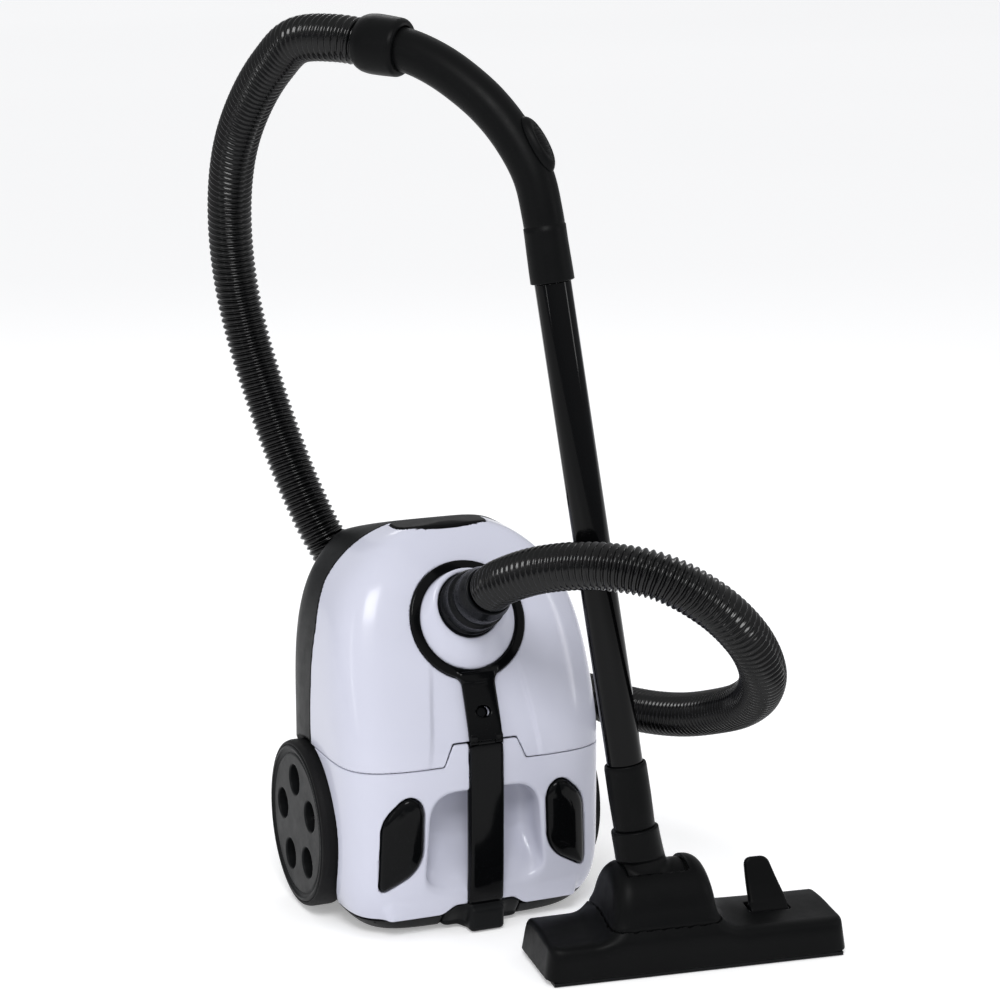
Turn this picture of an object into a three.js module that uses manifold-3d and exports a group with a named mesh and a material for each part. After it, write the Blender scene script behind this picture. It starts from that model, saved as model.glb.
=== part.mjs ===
// Canister vacuum cleaner, parked upright on its rear end, with its wand standing in front of it.
// Millimetres, +Z up. -Y is the lid side, +Y the underside that rolls on the floor, +X the right.
// The origin is on the floor, under the middle of the canister.
import * as THREE from 'three';
import { mergeVertices } from 'three/addons/utils/BufferGeometryUtils.js';
import Module from 'manifold-3d';

const wasm = await Module();
wasm.setup();

// ---- driving dimensions ----------------------------------------------------------------------
const GAP = 0.3;
const WALL = 2.6;

const BODY_HALF_WIDTH = 128;
const BODY_HEIGHT = 363;
const BODY_WIDEST = 120; // height at which the body is widest
const BODY_FRONT = -94; // lid side
const BODY_BACK = 106; // underside
const BODY_SQUARENESS = 5; // exponent of the superellipse section
const BODY_SIDES = 32; // facets round the body
const LID_SLOPE = 0.43; // how far the lid leans back for each millimetre up
const SLOPE_START = 182;
const SEAM_Y = 22; // between the white covers and the dark base
const SEAM_BEND = { low: 270, high: 310, back: 14 }; // near the top the seam moves back
const SEAM_GAP = 0.4;

const SPLIT_Z = 160; // lid to rear cover, at the sides
const TONGUE_Z = 180; // the same in the middle
const TONGUE_HALF = 31;
const TONGUE_FOOT = 40;
const LIP_Z = 17; // the white cover stops above this dark lip
const HINGE = { y: -93.7, z: 180, radius: 2.6 };

const BAND_HALF = 16;
const BAND_PROUD = 4.5; // how far the black strip stands off the white covers
const BAND_SUNK = 1.2;
const GRIP = { front: -93, low: 28, high: 146, back: -85 }; // the carry handle's thick middle
const RECESS = { half: 55, low: 38, high: 135, corner: 16, floor: -60 };

const CORD_OUTLET = new THREE.Vector3(-60, 105, 62);
const OUTLET_BORE = 9;
const OUTLET_HOLE = 14;

const RING_CENTRE = new THREE.Vector3(0, -51, 284);
const RING_OUTER = 56;
const RING_INNER = 47;
const FACE_TILT = THREE.MathUtils.degToRad(23.3);
const CUFF_TILT = THREE.MathUtils.degToRad(27);
const INLET = new THREE.Vector3(0, -55.4, 299);
const INLET_R = 30;
const CONE = { rim: 34, height: 9, shift: 12.5 }; // the white cone inside the ring, leaning up the lid
const CUFF_OUT = 52; // how far the cuff stands out of the inlet
const INDICATOR = new THREE.Vector3(0, -83, 205); // the bag-full window

const WHEEL_R = 78;
const WHEEL_W = 28;
const WHEEL_CENTRE = { x: 140, y: 34, z: 80.5 }; // x is the outer face
const AXLE_R = 6;

const SPRING = { coil: 5, wire: 0.45, height: 3.8, turns: 3, floor: 75.5 };
const CASTER = { y: 90, z: 310, well: 31 };

const HOSE_R = 21;
const TUBE_R = 16;
const TUBE_LOW = new THREE.Vector3(90, -195, 179);
const TUBE_HIGH = new THREE.Vector3(43, -140, 600);
const TUBE_WALL = 1.2;
const SOCKET_DEPTH = 35;
const HANDLE_R = 17.5;
const HANDLE_TOWARDS = new THREE.Vector3(-0.65, 0.76, 0); // where the handle bends to

const HEAD_CENTRE = new THREE.Vector3(141.5, -216, 0);
const HEAD_TURN = THREE.MathUtils.degToRad(-6.9);
const HEAD_LENGTH = 282;
const HEAD_DEPTH = 90;
const HEAD_HEIGHT = 36;
const HEAD_CORNER = 12;
const HEAD_END_LEAN = 0.035; // how much shorter the head is at its top
const HOOD_U = -31; // the neck sits left of the head's middle
const HOOD_SLOT = 29; // half the slot that the elbow swings in
const BRUSH_V = { front: -28, rear: 24 };
const ROLLER_U = 104;
const ROLLER_POCKET = 9;
const BUMPER_ROOM = 36;
const PIVOT_Z = 60;

// ---- colours ---------------------------------------------------------------------------------
const finish = (color, roughness, metalness = 0) =>
  new THREE.MeshStandardMaterial({ color, roughness, metalness });
const WHITE = finish(0xd9dbe8, 0.22);
const DARK = finish(0x1b1d1f, 0.45);
const GLOSS = finish(0x0a0b0c, 0.12);
const GREY = finish(0x2b2d31, 0.4);
const RUBBER = finish(0x141414, 0.8);
const STEEL = finish(0xb5b8bb, 0.3, 1);
const PAPER = finish(0xd8cdb4, 0.9);
const FOAM = finish(0x4a5560, 0.95);
const COPPER = finish(0x8c8f92, 0.4, 0.8);

// ---- small tools -----------------------------------------------------------------------------
const X = new THREE.Vector3(1, 0, 0);
const Y = new THREE.Vector3(0, 1, 0);
const Z = new THREE.Vector3(0, 0, 1);

function toSolid(geometry) {
  const plain = geometry.clone();
  for (const name of ['normal', 'uv', 'uv1']) plain.deleteAttribute(name);
  const merged = mergeVertices(plain, 1e-4);
  return new wasm.Manifold(new wasm.Mesh({
    numProp: 3,
    vertProperties: new Float32Array(merged.attributes.position.array),
    triVerts: new Uint32Array(merged.index.array),
  }));
}

function toGeometry(solid) {
  const mesh = solid.getMesh();
  const geometry = new THREE.BufferGeometry();
  geometry.setAttribute('position', new THREE.BufferAttribute(mesh.vertProperties, 3));
  geometry.setIndex(new THREE.BufferAttribute(mesh.triVerts, 1));
  geometry.computeVertexNormals();
  return geometry;
}

const asSolid = (shape) => (shape.isBufferGeometry ? toSolid(shape) : shape);
const cut = (from, ...tools) => tools.reduce((s, t) => s.subtract(asSolid(t)), asSolid(from));
const join = (first, ...others) => others.reduce((s, t) => s.add(asSolid(t)), asSolid(first));
const common = (a, b) => asSolid(a).intersect(asSolid(b));
const largest = (solid) => solid.decompose().sort((a, b) => b.volume() - a.volume())[0];

const machine = new THREE.Group();

function piece(name, shape, material, parent = machine) {
  const mesh = new THREE.Mesh(shape.isBufferGeometry ? shape : toGeometry(shape), material);
  mesh.name = name;
  parent.add(mesh);
  return mesh;
}

function frameAt(origin, direction, parent = machine) {
  const group = new THREE.Group();
  group.position.copy(origin);
  group.quaternion.setFromUnitVectors(Z, direction.clone().normalize());
  parent.add(group);
  return group;
}

function box(x0, x1, y0, y1, z0, z1) {
  const geometry = new THREE.BoxGeometry(x1 - x0, y1 - y0, z1 - z0);
  return geometry.translate((x0 + x1) / 2, (y0 + y1) / 2, (z0 + z1) / 2);
}

// A turned piece about +Z: [radius, height] pairs from bottom to top, closed on the axis.
function turned(profile, segments = 24) {
  const points = profile.map(([r, z]) => new THREE.Vector2(r, z));
  if (points[0].x > 0) points.unshift(new THREE.Vector2(0, points[0].y));
  if (points.at(-1).x > 0) points.push(new THREE.Vector2(0, points.at(-1).y));
  return new THREE.LatheGeometry(points, segments).rotateX(Math.PI / 2);
}

// A turned ring about +Z: the profile closes on itself, away from the axis.
function ring(profile, segments = 24) {
  const points = [...profile, profile[0]].map(([r, z]) => new THREE.Vector2(r, z));
  return new THREE.LatheGeometry(points, segments).rotateX(Math.PI / 2);
}

function pipe(inner, outer, z0, z1, segments = 24) {
  return ring([[inner, z0], [outer, z0], [outer, z1], [inner, z1]], segments);
}

const rod = (radius, z0, z1, segments = 20) => turned([[radius, z0], [radius, z1]], segments);

// Stands a turned piece along a direction from a point.
function along(geometry, origin, direction) {
  const turn = new THREE.Quaternion().setFromUnitVectors(Z, direction.clone().normalize());
  return geometry.clone().applyQuaternion(turn).translate(origin.x, origin.y, origin.z);
}

// A bar along X, centred on x = 0, from its side view's [y, z] points.
function barAlongX(points, length) {
  return new THREE.ExtrudeGeometry(polygon(points), { depth: length, bevelEnabled: false })
    .applyMatrix4(new THREE.Matrix4().makeBasis(Y, Z, X)).translate(-length / 2, 0, 0);
}

// Extrudes an outline drawn as seen from -Y: x to the right, z up.
function plate(shape, y0, y1, curveSegments = 8) {
  const options = { depth: y1 - y0, bevelEnabled: false, curveSegments };
  return new THREE.ExtrudeGeometry(shape, options).rotateX(Math.PI / 2).translate(0, y1, 0);
}

function roundedOutline(x0, x1, z0, z1, corner) {
  const s = new THREE.Shape();
  s.moveTo(x0 + corner, z0);
  s.lineTo(x1 - corner, z0);
  s.absarc(x1 - corner, z0 + corner, corner, -Math.PI / 2, 0);
  s.lineTo(x1, z1 - corner);
  s.absarc(x1 - corner, z1 - corner, corner, 0, Math.PI / 2);
  s.lineTo(x0 + corner, z1);
  s.absarc(x0 + corner, z1 - corner, corner, Math.PI / 2, Math.PI);
  s.lineTo(x0, z0 + corner);
  s.absarc(x0 + corner, z0 + corner, corner, Math.PI, Math.PI * 1.5);
  return s;
}

function polygon(points) {
  return new THREE.Shape(points.map(([x, y]) => new THREE.Vector2(x, y)));
}

// A round bar or tube along a curve.
function sweep(curve, radius, sides, steps) {
  const section = new THREE.Shape();
  section.absarc(0, 0, radius, 0, Math.PI * 2);
  return new THREE.ExtrudeGeometry(section, {
    steps, extrudePath: curve, curveSegments: sides / 2, bevelEnabled: false,
  });
}

const throughPoints = (points) => new THREE.CatmullRomCurve3(points, false, 'centripetal');

// ---- the body's outer form -------------------------------------------------------------------
function halfWidth(z) {
  const reach = z > BODY_WIDEST ? BODY_HEIGHT + 1 - BODY_WIDEST : 136;
  const power = z > BODY_WIDEST ? 4.5 : 6;
  const t = Math.min(Math.abs(z - BODY_WIDEST) / reach, 1);
  return BODY_HALF_WIDTH * (1 - t ** power) ** 0.4545;
}

function frontFace(z) {
  const bend = 8;
  const slope = LID_SLOPE * bend * Math.log(1 + Math.exp((z - SLOPE_START) / bend));
  const top = 18 * Math.max((z - 280) / 82, 0) ** 3;
  const tuck = 26 * Math.max((90 - z) / 90, 0) ** 4;
  return BODY_FRONT + slope + top + tuck;
}

function backFace(z) {
  const top = 6 * Math.max((z - 290) / 54, 0) ** 2 + 65 * Math.max((z - 342) / 20, 0) ** 1.2;
  const tuck = 34 * Math.max((90 - z) / 90, 0) ** 3;
  return BODY_BACK - top - tuck;
}

const LEVELS = [0, 8, 24, 70, 150, 178, 190, 230, 280, 312, 344, 353, 360, 363];
const INNER_LEVELS = [0, 24, 70, 150, 184, 280, 336, 360, 363];
const INNER_SIDES = 20;

// The closed outer form, made larger by grow (or smaller, when negative).
function bodyForm(grow = 0, levels = LEVELS, sides = BODY_SIDES) {
  const rows = levels.length - 1;
  const form = new THREE.CylinderGeometry(1, 1, 1, sides, rows).rotateX(Math.PI / 2);
  const position = form.attributes.position;
  for (let i = 0; i < position.count; i += 1) {
    const level = levels[Math.round((position.getZ(i) + 0.5) * rows)];
    const radius = Math.min(Math.hypot(position.getX(i), position.getY(i)), 1);
    const angle = Math.atan2(position.getY(i), position.getX(i));
    const c = Math.cos(angle);
    const s = Math.sin(angle);
    const a = halfWidth(level) + grow;
    const front = frontFace(level) - grow;
    const back = backFace(level) + grow;
    const power = 2 / BODY_SQUARENESS;
    const x = radius * a * Math.sign(c) * Math.abs(c) ** power;
    const y = (front + back) / 2 + radius * ((back - front) / 2) * Math.sign(s) * Math.abs(s) ** power;
    const ends = (level === BODY_HEIGHT ? grow : 0) - (level === 0 ? grow : 0);
    position.setXYZ(i, x, y, level + ends);
  }
  return toSolid(form);
}

const OUTER = bodyForm();
const INNER = bodyForm(-WALL, INNER_LEVELS, INNER_SIDES);
const FAR = 400;

// Everything under the line where the lid meets the rear cover, moved down by gap.
function belowSplit(gap) {
  const line = [
    [-FAR, -FAR], [FAR, -FAR], [FAR, SPLIT_Z - gap], [TONGUE_FOOT - gap, SPLIT_Z - gap],
    [TONGUE_HALF - gap, TONGUE_Z - gap], [gap - TONGUE_HALF, TONGUE_Z - gap],
    [gap - TONGUE_FOOT, SPLIT_Z - gap], [-FAR, SPLIT_Z - gap],
  ];
  return toSolid(plate(polygon(line), -FAR, FAR));
}

// Everything on the lid's side of the seam with the dark base, moved back by gap.
function beforeSeam(gap) {
  const y = SEAM_Y + gap;
  const back = y + SEAM_BEND.back;
  const side = [[-FAR, -FAR], [y, -FAR], [y, SEAM_BEND.low], [back, SEAM_BEND.high], [back, FAR],
    [-FAR, FAR]];
  return barAlongX(side, 2 * FAR);
}

const WHEEL_ARCH = [-1, 1].map((side) => along(
  rod(WHEEL_R + 3, WHEEL_CENTRE.x - WHEEL_W - 3, FAR, 28),
  new THREE.Vector3(0, WHEEL_CENTRE.y, WHEEL_CENTRE.z), X.clone().multiplyScalar(side),
));
const ARCH_LINER = [-1, 1].map((side) => along(
  rod(WHEEL_R + 3 + WALL, WHEEL_CENTRE.x - WHEEL_W - 3 - WALL, FAR, 28),
  new THREE.Vector3(0, WHEEL_CENTRE.y, WHEEL_CENTRE.z), X.clone().multiplyScalar(side),
));

// ---- foot buttons ----------------------------------------------------------------------------
// A leaf-shaped outline on the left of the rear cover; side = 1 mirrors it to the right.
function leaf(side, grow) {
  const s = new THREE.Shape();
  const at = (x, z) => [side * x, z];
  s.moveTo(...at(66 - grow, 132 + grow));
  s.quadraticCurveTo(...at(61 - grow, 128 + grow), ...at(60 - grow, 118));
  s.lineTo(...at(61 - grow, 84));
  s.quadraticCurveTo(...at(63 - grow, 69 - grow), ...at(76, 60 - grow));
  s.lineTo(...at(95, 49 - grow));
  s.quadraticCurveTo(...at(101 + grow, 46 - grow), ...at(101 + grow, 56));
  s.lineTo(...at(99 + grow, 104));
  s.quadraticCurveTo(...at(98 + grow, 118 + grow), ...at(86 + grow, 128 + grow));
  s.quadraticCurveTo(...at(75, 140 + grow), ...at(66 - grow, 132 + grow));
  return s;
}

const leafBar = (side, grow) => plate(leaf(side, grow), -130, -40, 4);
const POCKET_FLOOR = bodyForm(-16);
const POCKET_LINER = bodyForm(-16 - WALL);

// ---- canister --------------------------------------------------------------------------------
function hollowCovers() {
  const recess = (grow) => plate(
    roundedOutline(-RECESS.half - grow, RECESS.half + grow, RECESS.low - grow, RECESS.high + grow,
      RECESS.corner + grow), -FAR, RECESS.floor + grow,
  );
  const pockets = [-1, 1].map((side) => cut(leafBar(side, 0.8), POCKET_FLOOR));
  const liners = [-1, 1].map((side) => cut(leafBar(side, 0.8 + WALL), POCKET_LINER));
  const outside = cut(OUTER, recess(0), ...pockets, ...WHEEL_ARCH);
  const inside = cut(INNER, recess(WALL), ...liners, ...ARCH_LINER);
  return cut(outside, inside);
}

const COVERS = hollowCovers();

function baseShell() {
  const outletHole = along(rod(OUTLET_HOLE, -10, 10), CORD_OUTLET, Y);
  const grilleHole = box(-52, 52, 100, 112, 88, 152);
  const swivel = new THREE.Vector3(0, CASTER.y, CASTER.z);
  const casterWell = along(rod(CASTER.well, -2, 20), swivel, Y);
  const casterCup = along(rod(CASTER.well + WALL, -2 - WALL, 12), swivel, Y);
  const bosses = [-1, 1].map((side) => along(
    rod(11.5, WHEEL_CENTRE.x - WHEEL_W - 34, WHEEL_CENTRE.x - WHEEL_W - 4), axleLine(), sideways(side),
  ));
  const ribs = [-1, 1].map((side) => box(
    side * 92 - 12, side * 92 + 12, WHEEL_CENTRE.y - 2, WHEEL_CENTRE.y + 2, 1, WHEEL_CENTRE.z - 10,
  ));
  const bores = [-1, 1].map((side) => along(rod(AXLE_R + 0.3, 60, 200), axleLine(), sideways(side)));
  const lip = common(COVERS, box(-FAR, FAR, -FAR, FAR, -FAR, LIP_Z));
  const skin = join(cut(COVERS, beforeSeam(0)), lip);
  const strengthened = join(skin, common(casterCup, OUTER), ...bosses, ...ribs);
  const bumperRoom = box(-BUMPER_ROOM, BUMPER_ROOM, -120, -62, -1, 40);
  const stem = along(rod(5.3, -30, 4), swivel, Y);
  return cut(strengthened, ...bores, outletHole, grilleHole, casterWell, stem, bumperRoom);
}

const axleLine = () => new THREE.Vector3(0, WHEEL_CENTRE.y, WHEEL_CENTRE.z);
const sideways = (side) => X.clone().multiplyScalar(side);

// The thick black strip from the ring down to the floor; z0..z1 of it, behind its front line.
function bandPart(z0, z1, grow = 0) {
  const front = [];
  const back = [];
  for (const z of [z0, 34, 50, 80, 130, 165, 174, 187, 195, 205, 225, z1]) {
    if (z < z0 || z > z1) continue;
    front.push([frontFace(z) - BAND_PROUD, z]);
    back.unshift([frontFace(z) + BAND_SUNK + grow, z]);
  }
  return barAlongX([...front, ...back], 2 * (BAND_HALF + grow));
}

function handleForm(grow) {
  const half = BAND_HALF + grow;
  const grip = box(-half, half, GRIP.front, GRIP.back + grow, GRIP.low - grow, GRIP.high + grow);
  return join(bandPart(26.2, TONGUE_Z - SEAM_GAP, grow), grip);
}

function hingeBarrel(x0, x1, radius) {
  return along(rod(radius, x0, x1, 16), new THREE.Vector3(0, HINGE.y, HINGE.z), X);
}

function rearCover() {
  const front = box(-FAR, FAR, -FAR, SEAM_Y - SEAM_GAP, LIP_Z + SEAM_GAP, FAR);
  const region = common(belowSplit(SEAM_GAP), front);
  const bumperRoom = box(-BUMPER_ROOM, BUMPER_ROOM, -120, -62, -1, 27);
  const web = common(box(-8, 8, HINGE.y, HINGE.y + 4, 168, HINGE.z), bodyForm(-1.6));
  const knuckle = join(hingeBarrel(-8, 8, HINGE.radius), web);
  const trimmed = cut(common(COVERS, region), handleForm(0.4), bumperRoom);
  const earRoom = [-1, 1].map((side) => hingeBarrel(side > 0 ? 8 : -14.6, side > 0 ? 14.6 : -8, 3.4));
  const solid = cut(join(trimmed, knuckle), ...earRoom, hingeBarrel(-20, 20, 1.5));
  return largest(solid);
}

function carryHandle() {
  return cut(handleForm(0), hingeBarrel(-20, 20, HINGE.radius + 0.9));
}

function rearBumper() {
  const side = [[-97.5, 25.6], [-98, 14], [-92, 3], [-84, 0], [-64, 0], [-64, 25.6]];
  const bar = barAlongX(side, 68);
  const corners = plate(roundedOutline(-34, 34, -9, 26, 9), -120, -40);
  return common(bar, corners);
}

function buildCanister() {
  piece('base_shell', baseShell(), DARK);
  piece('rear_cover', rearCover(), WHITE);
  piece('carry_handle', carryHandle(), GLOSS);
  piece('rear_bumper', rearBumper(), DARK);
  for (const [name, side] of [['power_pedal', -1], ['rewind_pedal', 1]]) {
    const cap = cut(common(leafBar(side, 0), bodyForm(4.5)), bodyForm(-8));
    piece(name, cap, GLOSS);
    const seat = new THREE.Vector3(side * 80, -SPRING.floor, 92);
    piece(`${name}_spring`, along(pedalSpring(), seat, Y.clone().negate()), STEEL);
  }
  const seat = OUTLET_HOLE - 0.4;
  const grommet = [[OUTLET_BORE, -6], [seat, -6], [seat, 0.5], [seat + 3.4, 0.5], [seat + 2.4, 3],
    [OUTLET_BORE, 3]];
  piece('cord_outlet', along(ring(grommet, 16), CORD_OUTLET, Y), RUBBER);
}

// An open coil, standing on the pocket's floor under its button.
function pedalSpring() {
  const steps = SPRING.turns * 8;
  const points = [];
  for (let i = 0; i <= steps; i += 1) {
    const angle = (i / 8) * Math.PI * 2;
    const rise = SPRING.wire + ((SPRING.height - 2 * SPRING.wire) * i) / steps;
    points.push(new THREE.Vector3(SPRING.coil * Math.cos(angle), SPRING.coil * Math.sin(angle), rise));
  }
  return sweep(throughPoints(points), SPRING.wire, 4, steps);
}

// ---- inside the canister ---------------------------------------------------------------------
function exhaustGrille() {
  const frame = box(-51.5, 51.5, 102, 107.5, 88.5, 151.5);
  const slots = [];
  for (let i = 0; i < 6; i += 1) slots.push(box(-46, 46, 90, 120, 93 + i * 9.6, 97.4 + i * 9.6));
  return cut(frame, ...slots);
}

function buildInside() {
  const motorAt = new THREE.Vector3(0, 34, 70);
  const shell = [[50, 0], [50, 34], [40, 38], [40, 66], [24, 74]];
  const can = cut(turned(shell, 20), turned([[47, 3], [47, 32], [37, 36], [37, 64], [21, 71]], 20),
    rod(20, -5, 10, 12), rod(5, 60, 90, 10));
  piece('motor_housing', along(toGeometry(can), motorAt, Z), STEEL);
  const fan = [[44, 8], [44, 12], [14, 16], [14, 50], [3.5, 50], [3.5, 80]];
  piece('motor_fan', along(turned([[3.5, 5], [3.5, 8], ...fan], 20), motorAt, Z), COPPER);
  const seat = [[42, 68.9], [54, 68.9], [54, 81.6], [50.4, 81.6], [50.4, 69.5]];
  piece('motor_seat', ring(seat, 20).translate(0, motorAt.y, 0), RUBBER);
  const platformHole = rod(38, 0, 100).translate(0, motorAt.y, 0);
  piece('motor_platform', cut(box(-60, 60, -20, 96, 62, 68.6), platformHole), DARK);
  piece('motor_filter', box(-55, 55, -30, 90, 150, 156), FOAM);
  piece('filter_frame', cut(box(-72, 72, -44, 100, 158, 163), box(-50, 50, -26, 86, 150, 170)), DARK);
  piece('exhaust_grille', exhaustGrille(), DARK);
  piece('exhaust_filter', box(-49, 49, 96, 101.5, 90, 150), FOAM);
  const drum = [[46, 0], [46, 3], [22, 3], [22, 25], [46, 25], [46, 28], [8, 28], [8, 0]];
  piece('cord_reel', ring(drum, 20).translate(-28, 40, 24), DARK);
  piece('reel_axle', rod(7.6, 6, 56).translate(-28, 40, 0), STEEL);
  piece('power_switch', box(-88, -72, -56, -42, 84, 100), GREY);
  piece('dust_bag', dustBag(), PAPER);
  piece('bag_plate', bagPlate(), PAPER);
}

function dustBag() {
  const bag = new THREE.SphereGeometry(1, 16, 10).rotateX(Math.PI / 2).scale(84, 40, 74);
  return bag.translate(0, 34, 250);
}

const INLET_OUT = new THREE.Vector3(0, -Math.cos(CUFF_TILT), Math.sin(CUFF_TILT));
const FACE_OUT = new THREE.Vector3(0, -Math.cos(FACE_TILT), Math.sin(FACE_TILT));

function bagPlate() {
  const disc = pipe(27, 44, -52, -49, 28);
  return along(disc, INLET, INLET_OUT);
}

// ---- lid -------------------------------------------------------------------------------------
// The raised white cone from the ring up to the inlet's rim.
function inletCone(grow) {
  const cone = new THREE.CylinderGeometry(CONE.rim + grow, RING_INNER + grow, 1, 24, 1);
  cone.rotateX(Math.PI / 2);
  const position = cone.attributes.position;
  for (let i = 0; i < position.count; i += 1) {
    const top = position.getZ(i) > 0;
    position.setY(i, position.getY(i) + (top ? CONE.shift : 0));
    position.setZ(i, top ? CONE.height + grow : -3);
  }
  return along(cone, RING_CENTRE, FACE_OUT);
}

const ringGroove = (extra) => along(
  pipe(RING_INNER - extra, RING_OUTER + extra, -4.5 - extra, 20, 28), RING_CENTRE, FACE_OUT,
);

// What lies further from the hinge than the base's edge, so that the lid's foot swings clear of it.
function beyondReach() {
  const reach = SEAM_Y - HINGE.y - 0.3;
  const shell = along(pipe(reach, FAR, -FAR, FAR, 72), new THREE.Vector3(0, HINGE.y, HINGE.z), X);
  return common(shell, box(-FAR, FAR, 0, FAR, -FAR, HINGE.z));
}

function lidShell() {
  const upper = cut(beforeSeam(-SEAM_GAP), belowSplit(-SEAM_GAP));
  const backing = along(pipe(RING_INNER - 3, RING_OUTER + 2, -8, 0, 28), RING_CENTRE, FACE_OUT);
  const liner = common(backing, OUTER);
  const skin = join(common(cut(OUTER, INNER), upper), liner, inletCone(0));
  const mouth = along(rod(INLET_R, -60, 60, 24), INLET, INLET_OUT);
  const ears = [-1, 1].map((side) => {
    const x0 = side > 0 ? 8.4 : -14;
    const web = common(box(x0, x0 + 5.6, HINGE.y, HINGE.y + 6, HINGE.z, HINGE.z + 12), bodyForm(-1.7));
    return join(hingeBarrel(x0, x0 + 5.6, HINGE.radius), web);
  });
  const room = join(hingeBarrel(-8.4, 8.4, 3.4), hingeBarrel(-20, 20, 1.5));
  const bandSeat = bandPart(HINGE.z + SEAM_GAP, 245, 0.3);
  const latchSpan = box(-60, 60, LATCH_Y.front - 0.5, LATCH_Y.back + 0.5, 330, 380);
  const latchSeat = common(plate(latchOutline(0.5, 4), -FAR, FAR), latchSpan);
  const latchCut = common(latchSeat, cut(bodyForm(8), bodyForm(-9)));
  const body = cut(skin, ringGroove(0.3), mouth, bandSeat, latchCut);
  const eared = join(body, ...ears);
  const gaugeHole = along(rod(7, -10, 12, 16), INDICATOR, FACE_OUT);
  const solid = cut(eared, room, beyondReach(), gaugeHole);
  return largest(solid);
}

const LATCH_Y = { front: -1, back: 33 };

// drop leaves room under the catch for its travel.
function latchOutline(grow, drop = 0) {
  return roundedOutline(-43 - grow, 43 + grow, 345 - grow - drop, 380, 6);
}

function lidLatch() {
  const span = box(-60, 60, LATCH_Y.front, LATCH_Y.back, 330, 380);
  const block = common(plate(latchOutline(0), -FAR, FAR), span);
  return cut(common(block, bodyForm(0.8)), bodyForm(-4.5));
}

function upperBand() {
  const ringRoom = along(rod(RING_OUTER + 0.8, -30, 30, 28), RING_CENTRE, FACE_OUT);
  const window = along(rod(7.5, -30, 30, 18), INDICATOR, FACE_OUT);
  const hingeRoom = hingeBarrel(-20, 20, HINGE.radius + 0.6);
  return cut(bandPart(HINGE.z + SEAM_GAP, 245), ringRoom, hingeRoom, window);
}

function hoseCuff() {
  return ring([[20, -26], [24, -26], [24, -2], [27, 0], [27, 10], [25, 13], [26.4, 16],
    [26.4, 20], [24, 24], [24, 44], [21.5, CUFF_OUT], [19, CUFF_OUT]], 20);
}

function buildLid() {
  piece('lid_shell', lidShell(), WHITE);
  const hoop = along(pipe(RING_INNER, RING_OUTER, -4.5, 3, 28), RING_CENTRE, FACE_OUT);
  piece('ring_trim', common(hoop, bodyForm(2.6)), GLOSS);
  piece('upper_band', upperBand(), GLOSS);
  piece('lid_latch', lidLatch(), DARK);
  piece('lid_hinge_pin', hingeBarrel(-13.8, 13.8, 1.2), STEEL);
  piece('inlet_socket', along(pipe(25, 29.7, -40, -2, 28), INLET, INLET_OUT), GREY);
  piece('inlet_seal', along(pipe(22, 31, -47, -40.3, 28), INLET, INLET_OUT), RUBBER);
  piece('bag_full_float', along(turned([[5, -14], [5, -3], [4, -1]], 16), INDICATOR, FACE_OUT), DARK);
  piece('hose_cuff', hoseCuff(), GREY, frameAt(INLET, INLET_OUT));
}

// ---- wheels ----------------------------------------------------------------------------------
function wheelDisc() {
  const profile = [[AXLE_R + 0.3, 0], [WHEEL_R - 6, 0], [WHEEL_R - 6, WHEEL_W - 3],
    [WHEEL_R - 9, WHEEL_W], [WHEEL_R - 12, WHEEL_W - 2], [AXLE_R + 0.3, WHEEL_W - 2]];
  let disc = toSolid(ring(profile, 28));
  for (let i = 0; i < 5; i += 1) {
    const angle = (i / 5) * Math.PI * 2 + 0.45;
    const hole = rod(14.5, 6, 60, 10).translate(40 * Math.cos(angle), 40 * Math.sin(angle), 0);
    disc = cut(disc, hole);
  }
  return disc;
}

function buildWheels() {
  for (const [name, side] of [['left', -1], ['right', 1]]) {
    const hub = new THREE.Vector3(side * (WHEEL_CENTRE.x - WHEEL_W), WHEEL_CENTRE.y, WHEEL_CENTRE.z);
    const out = sideways(side);
    piece(`wheel_${name}`, along(toGeometry(wheelDisc()), hub, out), DARK);
    const tread = pipe(WHEEL_R - 5.7, WHEEL_R, 1, WHEEL_W - 3, 28);
    piece(`wheel_tread_${name}`, along(tread, hub, out), RUBBER);
    piece(`wheel_axle_${name}`, along(rod(AXLE_R, -32, WHEEL_W - 3), hub, out), STEEL);
  }
}

function buildCaster() {
  const fork = frameAt(new THREE.Vector3(0, CASTER.y, CASTER.z), Y);
  const axle = new THREE.Vector3(0, 11, 22);
  const arms = [-1, 1].map((side) => box(side * 10.5 - 2, side * 10.5 + 2, -6, 20, 3.5, 24));
  const crown = join(rod(5, -10, 2), rod(17, 0, 4, 24), ...arms);
  piece('caster_fork', cut(crown, along(rod(2.8, -20, 20), axle, X)), GREY, fork);
  const tyre = pipe(2.9, 15, -7.6, 7.6, 24);
  piece('caster_wheel', along(tyre, axle, X), RUBBER, fork);
  piece('caster_axle', along(rod(2.5, -13, 13, 12), axle, X), STEEL, fork);
}

// ---- wand ------------------------------------------------------------------------------------
const WAND_UP = TUBE_HIGH.clone().sub(TUBE_LOW).normalize();
const onWand = (s) => TUBE_LOW.clone().addScaledVector(WAND_UP, s);
const VISIBLE_TUBE = TUBE_HIGH.distanceTo(TUBE_LOW);

const COLLAR_OUT = 15.1; // from the handle's end to the hose's end

// The handle's centre line, as reach towards the user and height.
const HANDLE_LINE = [
  [4.8, 28], [10, 58], [19, 91], [39, 124], [62, 149], [87, 168], [111, 182], [136, 192],
  [156, 196.5], [170, 198],
];

function handlePoint([reach, rise]) {
  const towards = HANDLE_TOWARDS.clone().normalize();
  return TUBE_HIGH.clone().addScaledVector(towards, reach).setZ(TUBE_HIGH.z + rise);
}

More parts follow.
